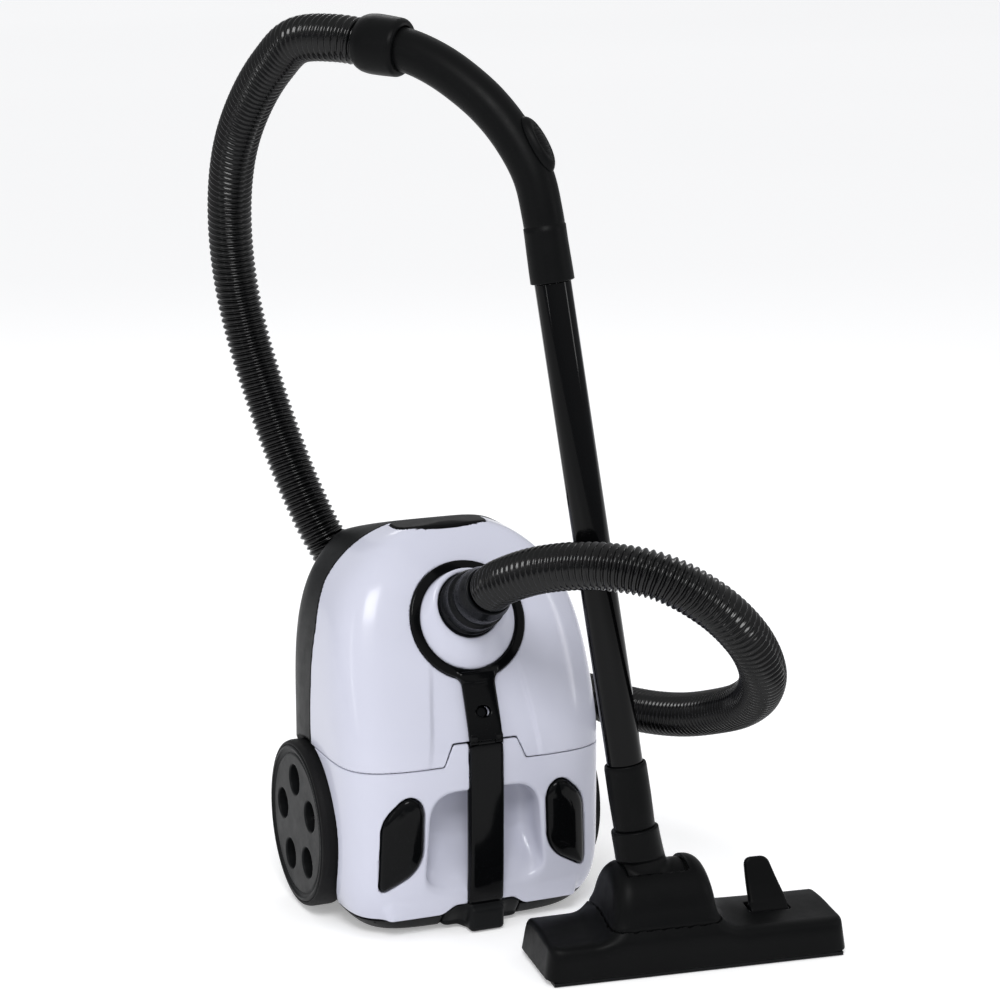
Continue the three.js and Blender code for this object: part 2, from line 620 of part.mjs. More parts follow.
function handleGrip() {
  const line = [TUBE_HIGH.clone().addScaledVector(WAND_UP, 0.5), ...HANDLE_LINE.map(handlePoint)];
  const grip = sweep(throughPoints(line), HANDLE_R, 12, 14);
  const nose = along(rod(TUBE_R - TUBE_WALL - GAP, -30, 2, 20), TUBE_HIGH, WAND_UP);
  return join(grip, nose);
}

const handleEnd = () => handlePoint(HANDLE_LINE.at(-1));
const handleOut = () => handleEnd().sub(handlePoint(HANDLE_LINE.at(-2))).normalize();

function suctionSlider() {
  const at = handlePoint([29, 109]);
  const up = handlePoint([39, 124]).sub(handlePoint([19, 91])).normalize();
  const frame = frameAt(at, up);
  const back = HANDLE_TOWARDS.clone().normalize().negate();
  const local = back.applyQuaternion(frame.quaternion.clone().invert());
  const turn = Math.atan2(local.y, local.x);
  const base = box(HANDLE_R + 0.9, HANDLE_R + 4.4, -7, 7, -20, 20);
  const knob = join(base, box(HANDLE_R + 4, HANDLE_R + 7, -6, 6, -9, 9));
  piece('suction_slider', toGeometry(knob).rotateZ(turn), DARK, frame);
}

function buildWand() {
  const tubeLength = VISIBLE_TUBE + SOCKET_DEPTH;
  const tube = pipe(TUBE_R - TUBE_WALL, TUBE_R, 0, tubeLength);
  piece('extension_tube', along(tube, onWand(-SOCKET_DEPTH), WAND_UP), GLOSS);
  piece('handle_grip', handleGrip(), DARK);
  suctionSlider();
  const lip = COLLAR_OUT - 0.6;
  const collar = [[HANDLE_R + 2.6, -25], [24.4, -25], [25.6, -22], [25.8, 4], [24.8, 11],
    [HOSE_R + 2, lip], [HOSE_R - 3, lip], [HOSE_R - 3, 0.4], [HANDLE_R + 2.6, 0.4]];
  piece('handle_collar', ring(collar), DARK, frameAt(handleEnd(), handleOut()));
  const socket = [[TUBE_R + 0.4, -SOCKET_DEPTH], [14, -SOCKET_DEPTH - 0.4], [14, -58], [18.5, -58],
    [19, -30], [18.6, 0], [TUBE_R + 0.4, 0]];
  piece('neck_socket', along(ring(socket), TUBE_LOW, WAND_UP), GREY);
}

// ---- floor head ------------------------------------------------------------------------------
const head = new THREE.Group();
head.position.copy(HEAD_CENTRE);
head.rotation.z = HEAD_TURN;
machine.add(head);
head.updateMatrixWorld(true);

const ROCKER_U = 79; // the pedal's place along the head
const ROCKER_LEAN = THREE.MathUtils.degToRad(25);

const pivot = () => head.localToWorld(new THREE.Vector3(HOOD_U, 6, PIVOT_Z));

function headShell() {
  const half = HEAD_DEPTH / 2;
  const outer = [[-half, 4], [-half + 0.5, 14], [-half + 1.5, 27], [-half + 7, HEAD_HEIGHT - 2],
    [20, HEAD_HEIGHT + 3], [half - 8, HEAD_HEIGHT], [half - 2, 30], [half, 4]];
  const inner = [[-half + 3, 0], [-half + 3.5, 14], [-half + 4.5, 25], [-half + 9, HEAD_HEIGHT - 5.5],
    [20, HEAD_HEIGHT], [half - 9, HEAD_HEIGHT - 3], [half - 5, 28], [half - 3, 0]];
  const bar = barAlongX(outer, HEAD_LENGTH);
  const position = bar.attributes.position;
  for (let i = 0; i < position.count; i += 1) {
    const taper = 1 - (HEAD_END_LEAN * position.getZ(i)) / HEAD_HEIGHT;
    position.setX(i, position.getX(i) * taper);
  }
  const opening = box(HOOD_U - HOOD_SLOT, HOOD_U + HOOD_SLOT, -30, 60, 10, 90);
  const rockerHole = box(ROCKER_U - 20, ROCKER_U + 20, -10, 14, 20, 60);
  const rounded = common(bar, headPlan(HEAD_LENGTH / 2));
  const inside = barAlongX(inner, HEAD_LENGTH - 18);
  return cut(rounded, inside, opening, rockerHole, ...rollerPockets(22, 20));
}

// The head's plan view as a tall block: its two front corners are rounded.
function headPlan(half) {
  const outline = roundedOutline(-half, half, -HEAD_DEPTH, HEAD_DEPTH / 2, HEAD_CORNER);
  return plate(outline, -1, 2 * HEAD_HEIGHT).rotateX(Math.PI / 2);
}

function rollerPockets(front, top) {
  return [-1, 1].map((side) => box(
    side * ROLLER_U - ROLLER_POCKET, side * ROLLER_U + ROLLER_POCKET, front, 46, -1, top,
  ));
}

function headHood() {
  const arch = new THREE.Shape();
  arch.absarc(6, PIVOT_Z - 8, 41, -0.25, Math.PI + 0.25);
  arch.lineTo(-34, HEAD_HEIGHT + 1);
  const dome = new THREE.ExtrudeGeometry(arch, { depth: 96, bevelEnabled: false, curveSegments: 16 })
    .applyMatrix4(new THREE.Matrix4().makeBasis(Y, Z, X)).translate(HOOD_U - 48, 0, 0);
  const round = new THREE.SphereGeometry(1, 20, 12).scale(54, 60, 47)
    .translate(HOOD_U, 6, PIVOT_Z - 14);
  const body = common(common(dome, round), box(-200, 200, -60, 60, HEAD_HEIGHT + 3.6, 120));
  const slot = box(HOOD_U - HOOD_SLOT, HOOD_U + HOOD_SLOT, -16, 70, 20, 140);
  const lower = box(HOOD_U - HOOD_SLOT, HOOD_U + HOOD_SLOT, -24, 70, 20, 84);
  return largest(cut(body, slot, lower));
}

const NECK_TOP = -58.4; // where the neck socket ends, along the wand

function elbow() {
  const at = pivot();
  const drum = along(rod(28.5, -27, 27, 28), at, X.clone().applyAxisAngle(Z, HEAD_TURN));
  const neck = along(rod(19.5, -25, 0), onWand(NECK_TOP), WAND_UP);
  const middle = onWand(-66);
  const rise = middle.clone().sub(at);
  const stem = along(rod(18.5, 0, rise.length()), at, rise);
  const bore = along(rod(13, -20, 5), onWand(NECK_TOP), WAND_UP);
  return cut(join(drum, stem, neck), bore);
}

function solePlate() {
  const half = HEAD_LENGTH / 2 - 6;
  const plateBody = box(-half, half, -42, 42, 0.4, 3.6);
  const suction = box(-100, 100, -9, 9, -1, 6);
  const slots = Object.values(BRUSH_V).map((v) => box(-115.4, 115.4, v - 3.4, v + 3.4, -1, 6));
  return cut(plateBody, suction, ...slots, ...rollerPockets(30, 6));
}

function buildHead() {
  piece('head_shell', headShell(), DARK, head);
  piece('head_hood', headHood(), DARK, head);
  piece('elbow', elbow(), GREY);
  piece('sole_plate', solePlate(), DARK, head);
  for (const [name, v] of Object.entries(BRUSH_V)) {
    piece(`brush_${name}`, box(-115, 115, v - 3, v + 3, 4.4, 12), RUBBER, head);
  }
  const rocker = new THREE.Group();
  rocker.position.set(ROCKER_U, 2, HEAD_HEIGHT);
  head.add(rocker);
  const hub = new THREE.Vector3(0, 0, -4);
  const pad = polygon([[-16, -4], [16, -4], [17, 22], [14, 40], [8, 48], [-11, 50], [-16, 45]]);
  const blade = plate(pad, -4, 4).rotateX(-ROCKER_LEAN).translate(0, 0, hub.z);
  const lever = join(blade, along(rod(6, -17, 17, 16), hub, X));
  piece('foot_rocker', cut(lever, along(rod(2.3, -30, 30, 12), hub, X)), DARK, rocker);
  piece('rocker_pin', along(rod(2, -19.6, 19.6, 12), hub, X), STEEL, rocker);
  for (const [name, side] of [['left', -1], ['right', 1]]) {
    const at = new THREE.Vector3(side * ROLLER_U, 36, 7.4);
    piece(`roller_${name}`, along(pipe(1.8, 7, -6, 6, 18), at, X), RUBBER, head);
    piece(`roller_pin_${name}`, along(rod(1.5, -8.6, 8.6, 10), at, X), STEEL, head);
  }
}

// ---- hose ------------------------------------------------------------------------------------
// The hose's middle line: out of the cuff, round in front of the wand, back behind it, behind the
// canister, then up and over to the handle. It is cut in three at two of these points.
const HOSE_ROUTE = [
  [0, -102.2, 322.9], [0, -131, 337.6], [18, -179, 358], [51, -225, 368], [92, -258, 362],
  [134, -271, 337], [170, -267, 303], [197, -246, 267], [214, -210, 235], [221, -166, 209],
  [220, -117, 189], [212, -68, 173], [200, -18, 163], [183, 31, 160], [161, 77, 165],
  [129, 113, 175], [87, 132, 189], [42, 141, 211], [-1, 145, 240], [-36, 151, 276],
  [-62, 163, 318], [-80, 179, 364], [-94, 196, 412], [-106, 210, 460], [-118, 219, 510],
  [-128, 221, 561], [-135, 214, 611], [-139, 198, 659], [-140, 171, 703], [-136, 134, 744],
  [-128, 97, 776], [-117, 60, 799],
];
const HOSE_CUTS = [9, 20]; // the joins, as places in the route
const SWING = 78; // from the lid's hinge to the first join
const OVERRUN = 10; // extra tube at the first join, before it is trimmed round the hinge

class Stretch extends THREE.Curve {
  constructor(whole, from, to) {
    super();
    Object.assign(this, { whole, from, to });
  }

  getPoint(t, target = new THREE.Vector3()) {
    return this.whole.getPointAt(this.from + (this.to - this.from) * t, target);
  }
}

// A thick cylinder about the lid's hinge, in front of it.
function aboutHinge(inner, outer) {
  const shell = along(pipe(inner, outer, -FAR, FAR, 72), new THREE.Vector3(0, HINGE.y, HINGE.z), X);
  return common(shell, box(-FAR, FAR, -FAR, HINGE.y, -FAR, FAR));
}

// The stretch that swings with the lid ends on a cylinder about the hinge, so that it swings clear.
function buildHose() {
  const last = [26, 0].map((more) => handleEnd().addScaledVector(handleOut(), COLLAR_OUT + more));
  const points = [...HOSE_ROUTE.map(([x, y, z]) => new THREE.Vector3(x, y, z)), ...last];
  const whole = throughPoints(points);
  whole.arcLengthDivisions = 2000;
  const length = whole.getLength();
  const lengths = whole.getLengths((points.length - 1) * 40);
  const ends = [0, ...HOSE_CUTS.map((i) => lengths[i * 40] / length), 1];
  const extra = OVERRUN / length;
  const halfGap = GAP / 2 / length;
  const tube = (from, to) => sweep(new Stretch(whole, from, to), HOSE_R, 8, 14);
  piece('hose_front', cut(tube(0, ends[1] + extra), aboutHinge(1, SWING)), RUBBER);
  const back = tube(ends[1] - extra, ends[2] - halfGap);
  piece('hose_back', cut(back, aboutHinge(SWING - GAP, SWING + 40)), RUBBER);
  piece('hose_upper', tube(ends[2] + halfGap, 1), RUBBER);
}

buildCanister();
buildInside();
buildLid();
buildWheels();
buildCaster();
buildWand();
buildHead();
buildHose();

export default machine;
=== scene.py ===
import math

import bpy
import numpy as np
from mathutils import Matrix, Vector


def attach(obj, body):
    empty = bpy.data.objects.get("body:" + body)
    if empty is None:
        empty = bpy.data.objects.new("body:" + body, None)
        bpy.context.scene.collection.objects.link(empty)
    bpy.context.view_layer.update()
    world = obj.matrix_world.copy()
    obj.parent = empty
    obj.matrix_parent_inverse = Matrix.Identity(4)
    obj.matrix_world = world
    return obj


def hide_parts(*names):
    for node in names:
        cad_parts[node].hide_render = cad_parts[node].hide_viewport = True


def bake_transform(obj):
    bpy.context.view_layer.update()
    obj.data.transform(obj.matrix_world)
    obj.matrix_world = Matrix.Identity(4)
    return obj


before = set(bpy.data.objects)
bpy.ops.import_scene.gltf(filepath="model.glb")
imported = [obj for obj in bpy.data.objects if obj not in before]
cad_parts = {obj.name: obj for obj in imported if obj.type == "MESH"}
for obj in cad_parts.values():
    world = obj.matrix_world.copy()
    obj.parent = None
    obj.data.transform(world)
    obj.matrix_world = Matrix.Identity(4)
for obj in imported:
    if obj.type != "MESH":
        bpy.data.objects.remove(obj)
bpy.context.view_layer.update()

# Shapes are in millimetres until they reach Blender. Lamps, floor and the grain's height are in metres.
MM = 0.001

# ---- camera and stage ----
LOOK_AT = Vector((53.04, 0.0, 379.54)) * MM
CAMERA_AT = Vector((-877.7, -2203.4, 909.8)) * MM
LENS = 95.4
SENSOR = 36.0
SKY = [(0.0, (0.30, 0.31, 0.33, 1)), (0.4, (0.66, 0.66, 0.67, 1)), (0.8, (0.72, 0.725, 0.73, 1))]
FLOOR_HALF = 30.0  # metres
FLOOR_DROP = 0.0004  # metres under the canister's foot
FLOOR_GLOW = 0.30  # keeps the paper floor nearly white


def add_camera():
    data = bpy.data.cameras.new("camera")
    data.lens = LENS
    data.sensor_width = SENSOR
    data.clip_start = 0.05
    data.clip_end = 50
    camera = bpy.data.objects.new("camera", data)
    bpy.context.scene.collection.objects.link(camera)
    camera.location = CAMERA_AT
    camera.rotation_euler = (LOOK_AT - CAMERA_AT).to_track_quat("-Z", "Y").to_euler()
    bpy.context.scene.camera = camera


def add_area(name, place, aim, size, power):
    data = bpy.data.lights.new(name, "AREA")
    data.shape = "RECTANGLE"
    data.size, data.size_y = size
    data.energy = power
    lamp = bpy.data.objects.new(name, data)
    lamp.location = place
    lamp.rotation_euler = (Vector(aim) - Vector(place)).to_track_quat("-Z", "Y").to_euler()
    bpy.context.scene.collection.objects.link(lamp)


def add_world():
    world = bpy.data.worlds.new("studio")
    world.use_nodes = True
    shade = world.node_tree.nodes["Background"]
    place = world.node_tree.nodes.new("ShaderNodeTexCoord")
    split = world.node_tree.nodes.new("ShaderNodeSeparateXYZ")
    ramp = ramp_of(world.node_tree.nodes, SKY)
    world.node_tree.links.new(place.outputs["Generated"], split.inputs["Vector"])
    world.node_tree.links.new(split.outputs["Z"], ramp.inputs["Fac"])
    world.node_tree.links.new(ramp.outputs["Color"], shade.inputs["Color"])
    shade.inputs["Strength"].default_value = 1.0
    bpy.context.scene.world = world


def add_floor():
    mesh = bpy.data.meshes.new("studio_floor")
    corners = [(-FLOOR_HALF, -FLOOR_HALF, 0), (FLOOR_HALF, -FLOOR_HALF, 0), (FLOOR_HALF, FLOOR_HALF, 0),
               (-FLOOR_HALF, FLOOR_HALF, 0)]
    mesh.from_pydata(corners, [], [(0, 1, 2, 3)])
    floor = bpy.data.objects.new("studio_floor", mesh)
    bpy.context.scene.collection.objects.link(floor)
    floor.location.z = -FLOOR_DROP
    material, nodes, links, shader = new_material("floor_paper")
    noise = add(nodes, "ShaderNodeTexNoise", Scale=6.0, Detail=3.0)
    ramp = ramp_of(nodes, [(0.3, (0.90, 0.90, 0.905, 1)), (0.7, (0.93, 0.93, 0.935, 1))])
    links.new(noise.outputs["Fac"], ramp.inputs["Fac"])
    links.new(ramp.outputs["Color"], shader.inputs["Base Color"])
    shader.inputs["Roughness"].default_value = 0.85
    shader.inputs["Emission Color"].default_value = (1, 1, 1, 1)
    shader.inputs["Emission Strength"].default_value = FLOOR_GLOW
    mesh.materials.append(material)


def add_stage():
    add_world()
    add_floor()
    add_area("key", (-0.85, -1.95, 2.35), (0.05, 0.0, 0.4), (1.1, 0.8), 40)
    add_area("fill", (2.6, -1.8, 1.5), (0.05, 0.0, 0.3), (0.3, 0.9), 7)
    add_area("strip", (-2.3, -0.9, 1.2), (0.0, 0.0, 0.3), (0.12, 1.2), 4)
    add_area("back", (0.6, 2.6, 2.4), (0.0, 0.0, 0.4), (1.2, 0.6), 10)


# ---- materials ----
def add(nodes, kind, **values):
    node = nodes.new(kind)
    for name, value in values.items():
        node.inputs[name.replace("_", " ")].default_value = value
    return node


def ramp_of(nodes, stops):
    node = nodes.new("ShaderNodeValToRGB")
    node.color_ramp.elements[0].position, node.color_ramp.elements[0].color = stops[0]
    node.color_ramp.elements[1].position, node.color_ramp.elements[1].color = stops[-1]
    for position, color in stops[1:-1]:
        node.color_ramp.elements.new(position).color = color
    return node


def new_material(name):
    material = bpy.data.materials.new(name)
    material.use_nodes = True
    nodes, links = material.node_tree.nodes, material.node_tree.links
    return material, nodes, links, nodes["Principled BSDF"]


def mapped(nodes, links, scale=(1, 1, 1)):
    place = nodes.new("ShaderNodeTexCoord")
    mapping = nodes.new("ShaderNodeMapping")
    mapping.inputs["Scale"].default_value = scale
    links.new(place.outputs["Object"], mapping.inputs["Vector"])
    return mapping.outputs["Vector"]


def moulded(name, color, rough, rough_spread, grain, grain_depth, coat=0.0, variation=0.04, dust=0.0,
            metal=0.0, shine=0.5, stretch=(1, 1, 1)):
    """Moulded plastic, rubber or metal: faint colour variation, uneven gloss, and a fine surface grain.
    grain is the number of grains in a metre, and grain_depth their height in metres."""
    material, nodes, links, shader = new_material(name)
    vector = mapped(nodes, links, stretch)
    broad = add(nodes, "ShaderNodeTexNoise", Scale=14.0, Detail=4.0, Roughness=0.6)
    links.new(vector, broad.inputs["Vector"])
    dark = tuple(max(c * (1 - variation), 0) for c in color)
    light = tuple(min(c * (1 + variation), 1) for c in color)
    tint = ramp_of(nodes, [(0.25, (*dark, 1)), (0.75, (*light, 1))])
    links.new(broad.outputs["Fac"], tint.inputs["Fac"])
    base = tint.outputs["Color"]
    if dust > 0:
        specks = add(nodes, "ShaderNodeTexNoise", Scale=900.0, Detail=2.0)
        links.new(vector, specks.inputs["Vector"])
        mask = ramp_of(nodes, [(0.66, (0, 0, 0, 1)), (0.72, (dust, dust, dust, 1))])
        links.new(specks.outputs["Fac"], mask.inputs["Fac"])
        mix = nodes.new("ShaderNodeMix")
        mix.data_type = "RGBA"
        mix.inputs["B"].default_value = (0.45, 0.45, 0.44, 1)
        links.new(mask.outputs["Color"], mix.inputs["Factor"])
        links.new(base, mix.inputs["A"])
        base = mix.outputs["Result"]
    links.new(base, shader.inputs["Base Color"])
    worn = add(nodes, "ShaderNodeTexNoise", Scale=55.0, Detail=6.0, Roughness=0.7)
    links.new(vector, worn.inputs["Vector"])
    spread = nodes.new("ShaderNodeMapRange")
    spread.inputs["From Min"].default_value = 0.3
    spread.inputs["From Max"].default_value = 0.7
    spread.inputs["To Min"].default_value = max(rough - rough_spread, 0.02)
    spread.inputs["To Max"].default_value = rough + rough_spread
    links.new(worn.outputs["Fac"], spread.inputs["Value"])
    links.new(spread.outputs["Result"], shader.inputs["Roughness"])
    fine = add(nodes, "ShaderNodeTexNoise", Scale=grain, Detail=3.0, Roughness=0.55)
    links.new(vector, fine.inputs["Vector"])
    bump = nodes.new("ShaderNodeBump")
    bump.inputs["Strength"].default_value = 1.0
    bump.inputs["Distance"].default_value = grain_depth
    links.new(fine.outputs["Fac"], bump.inputs["Height"])
    links.new(bump.outputs["Normal"], shader.inputs["Normal"])
    shader.inputs["Metallic"].default_value = metal
    shader.inputs["Specular IOR Level"].default_value = shine
    shader.inputs["Coat Weight"].default_value = coat
    shader.inputs["Coat Roughness"].default_value = 0.06
    return material


WHITE = moulded("white_gloss_abs", (0.56, 0.57, 0.665), 0.16, 0.03, 260, 0.000008, variation=0.01, shine=0.26)
BLACK_GLOSS = moulded("black_gloss_abs", (0.0022, 0.0024, 0.0027), 0.1, 0.03, 300, 0.000008, coat=0.04,
                      variation=0.15, dust=0.006, shine=0.08)
DARK = moulded("dark_textured_abs", (0.0072, 0.0077, 0.0082), 0.4, 0.06, 1500, 0.00005, variation=0.10,
               shine=0.07)
MATTE = moulded("matte_black_abs", (0.0026, 0.0028, 0.0030), 0.42, 0.06, 1300, 0.00006, variation=0.12,
                dust=0.006, shine=0.07)
GREY = moulded("grey_satin_abs", (0.0032, 0.0036, 0.0044), 0.26, 0.06, 1200, 0.00003, variation=0.10,
               shine=0.1)
RUBBER = moulded("black_rubber", (0.005, 0.005, 0.0055), 0.6, 0.08, 900, 0.00008, variation=0.16, dust=0.01,
                 shine=0.1)
HOSE = moulded("hose_polymer", (0.0012, 0.0013, 0.0015), 0.16, 0.04, 700, 0.00001, variation=0.15,
               shine=0.26)
ENAMEL = moulded("tube_enamel", (0.0016, 0.0017, 0.0019), 0.09, 0.03, 420, 0.000008, coat=0.05,
                 variation=0.1, shine=0.1)
STEEL = moulded("turned_steel", (0.52, 0.53, 0.54), 0.3, 0.08, 800, 0.00002, variation=0.05, metal=1.0,
                stretch=(1, 1, 9))
ALLOY = moulded("cast_alloy", (0.46, 0.47, 0.48), 0.42, 0.08, 600, 0.00008, variation=0.08, metal=0.9)
FLEECE = moulded("bag_fleece", (0.62, 0.53, 0.38), 0.9, 0.05, 1400, 0.0003, variation=0.08)
FOAM = moulded("filter_foam", (0.10, 0.13, 0.17), 0.92, 0.04, 800, 0.0007, variation=0.2)
BRISTLE = moulded("brush_bristle", (0.02, 0.02, 0.02), 0.6, 0.1, 1600, 0.0006, variation=0.3,
                  stretch=(1, 1, 0.08))

FINISHED_IN = [
    (STEEL, "power_pedal_spring rewind_pedal_spring motor_housing reel_axle lid_hinge_pin wheel_axle_left"
            " wheel_axle_right caster_axle rocker_pin roller_pin_left roller_pin_right"),
    (RUBBER, "cord_outlet motor_seat inlet_seal caster_wheel roller_left roller_right"),
    (DARK, "motor_platform filter_frame exhaust_grille cord_reel sole_plate"),
    (GREY, "power_switch inlet_socket bag_full_float caster_fork"),
    (FOAM, "motor_filter exhaust_filter"), (FLEECE, "bag_plate dust_bag"), (ALLOY, "motor_fan"),
]
CAD_FINISH = {name: material for material, names in FINISHED_IN for name in names.split()}


# ---- meshes from arrays ----
def make_object(name, points, faces, material, normals=None):
    """points in millimetres, faces an array of quads (or rows of equal length)."""
    mesh = bpy.data.meshes.new(name)
    count, per = faces.shape
    mesh.vertices.add(len(points))
    mesh.vertices.foreach_set("co", (points * MM).astype(np.float32).ravel())
    mesh.loops.add(count * per)
    mesh.loops.foreach_set("vertex_index", faces.astype(np.int32).ravel())
    mesh.polygons.add(count)
    mesh.polygons.foreach_set("loop_start", np.arange(0, count * per, per, dtype=np.int32))
    mesh.update(calc_edges=True)
    mesh.validate()
    mesh.polygons.foreach_set("use_smooth", np.ones(len(mesh.polygons), bool))
    if normals is not None and len(mesh.vertices) == len(normals):
        mesh.normals_split_custom_set_from_vertices(normals.tolist())
    mesh.materials.append(material)
    obj = bpy.data.objects.new(name, mesh)
    bpy.context.scene.collection.objects.link(obj)
    return obj


def show(obj, mount, *nodes, slot=None):
    """The piece rides on a body, and stands for the CAD nodes."""
    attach(obj, mount)
    if nodes:
        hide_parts(*nodes)
    return obj


def unit(v):
    v = np.asarray(v, float)
    return v / np.linalg.norm(v)


def frame_on(direction, hint=(0, 0, 1)):
    """Three unit vectors, the last along direction."""
    w = unit(direction)
    u = np.cross(hint, w)
    if np.linalg.norm(u) < 1e-6:
        u = np.cross((1, 0, 0), w)
    u = unit(u)
    return u, np.cross(w, u), w


def rounded(profile, radius_of, steps=3):
    """A profile with each inner corner cut by a small arc; radius_of is the size of the cut."""
    out = []
    points = [np.asarray(p, float) for p in profile]
    for i, p in enumerate(points):
        if i in (0, len(points) - 1):
            out.append(p)
            continue
        before, after = points[i - 1] - p, points[i + 1] - p
        reach = min(radius_of, np.linalg.norm(before) * 0.45, np.linalg.norm(after) * 0.45)
        a, b = p + unit(before) * reach, p + unit(after) * reach
        for k in range(steps + 1):
            t = k / steps
            out.append((1 - t) ** 2 * a + 2 * t * (1 - t) * p + t * t * b)
    return np.array(out)


def turned(name, profile, origin, direction, material, segments, radius_of):
    """A turned piece: [radius, height] pairs along direction from origin, its corners cut by radius_of."""
    outline = rounded(profile, radius_of)
    u, v, w = frame_on(direction)
    angles = np.arange(segments) / segments * 2 * np.pi
    ring = np.cos(angles)[:, None] * u + np.sin(angles)[:, None] * v
    points = (np.asarray(origin, float) + outline[:, 1][:, None, None] * w
              + outline[:, 0][:, None, None] * ring[None]).reshape(-1, 3)
    return make_object(name, points, tube_faces(len(outline), segments), material)


def tube_faces(rings, sides):
    i = np.arange(rings - 1)[:, None]
    j = np.arange(sides)[None]
    k = (j + 1) % sides
    corners = [i * sides + j, i * sides + k, (i + 1) * sides + k, (i + 1) * sides + j]
    return np.stack(corners, -1).reshape(-1, 4)


# ---- curves ----
def smooth_curve(points, per_span):
    """The same centripetal curve through the points as the CAD route follows."""
    p = np.asarray(points, float)
    p = np.vstack([2 * p[0] - p[1], p, 2 * p[-1] - p[-2]])
    out = []
    t = (np.arange(per_span) / per_span)[:, None]
    for i in range(len(p) - 3):
        a, b, c, d = p[i:i + 4]
        da, db, dc = (max(np.linalg.norm(q - r), 1e-6) ** 0.5 for q, r in ((b, a), (c, b), (d, c)))
        m1 = ((b - a) / da - (c - a) / (da + db) + (c - b) / db) * db
        m2 = ((c - b) / db - (d - b) / (db + dc) + (d - c) / dc) * db
        square, cube = -3 * b + 3 * c - 2 * m1 - m2, 2 * b - 2 * c + m1 + m2
        out.append(b + m1 * t + square * t ** 2 + cube * t ** 3)
    return np.vstack([*out, p[-2:-1]])


def lengths_along(line):
    return np.concatenate([[0], np.cumsum(np.linalg.norm(np.diff(line, axis=0), axis=1))])


def spaced(line, at):
    """Points at the given distances along the line."""
    s = lengths_along(line)
    return np.stack([np.interp(at, s, line[:, i]) for i in range(3)], 1)


def frames_along(line):
    """Directions along the line, and two vectors square to them that don't twist."""
    tangent = np.gradient(line, axis=0)
    tangent /= np.linalg.norm(tangent, axis=1)[:, None]
    u = frame_on(tangent[0])[0]
    us = []
    for t in tangent:
        u = unit(u - (u @ t) * t)
        us.append(u)
    us = np.array(us)
    return tangent, us, np.cross(tangent, us)


def swept(name, line, radius, material, sides, caps=True):
    """A round bar along the line. radius has one number for each point, or one for each point and side."""
    _, u, v = frames_along(line)
    angles = np.arange(sides) / sides * 2 * np.pi
    ring = np.cos(angles)[None, :, None] * u[:, None] + np.sin(angles)[None, :, None] * v[:, None]
    if np.ndim(radius) < 2:
        radius = radius[:, None]
    points = (line[:, None] + ring * radius[..., None]).reshape(-1, 3)
    faces = tube_faces(len(line), sides)
    if caps:
        ends = np.vstack([line[0], line[-1]])
        n = len(points)
        points = np.vstack([points, ends])
        j = np.arange(sides)
        k = (j + 1) % sides
        last = (len(line) - 1) * sides
        low = np.stack([np.full(sides, n), k, j], 1)
        high = np.stack([np.full(sides, n + 1), last + j, last + k], 1)
        mesh_faces = [*faces.tolist(), *low.tolist(), *high.tolist()]
        mesh = bpy.data.meshes.new(name)
        mesh.from_pydata((points * MM).tolist(), [], mesh_faces)
        mesh.polygons.foreach_set("use_smooth", np.ones(len(mesh.polygons), bool))
        mesh.materials.append(material)
        obj = bpy.data.objects.new(name, mesh)
        bpy.context.scene.collection.objects.link(obj)
        return obj
    return make_object(name, points, faces, material)


# ---- shapes as distance fields ----
def smin(a, b, k):
    h = np.maximum(k - np.abs(a - b), 0) / k
    return np.minimum(a, b) - h * h * k * 0.25


def smax(a, b, k):
    return -smin(-a, -b, k)


def smoothstep(x):
    t = np.clip(x, 0, 1)
    return t * t * (3 - 2 * t)


def rounded_box(dx, dy, dz, r):
    """dx, dy and dz are distances outside each pair of walls."""
    a, b, c = dx + r, dy + r, dz + r
    outside = np.sqrt(np.maximum(a, 0) ** 2 + np.maximum(b, 0) ** 2 + np.maximum(c, 0) ** 2)
    return outside + np.minimum(np.maximum(np.maximum(a, b), c), 0) - r


def value_and_gradient(field, p, h=0.03):
    change = [field(*(p + step).T) - field(*(p - step).T) for step in np.eye(3) * h]
    return field(*p.T), np.stack(change, 1) / (2 * h)


CORNERS = [(0, 0, 0), (1, 0, 0), (0, 1, 0), (1, 1, 0), (0, 0, 1), (1, 0, 1), (0, 1, 1), (1, 1, 1)]
EDGES = [(a, b) for a in range(8) for b in range(a + 1, 8)
         if sum(abs(p - q) for p, q in zip(CORNERS[a], CORNERS[b])) == 1]


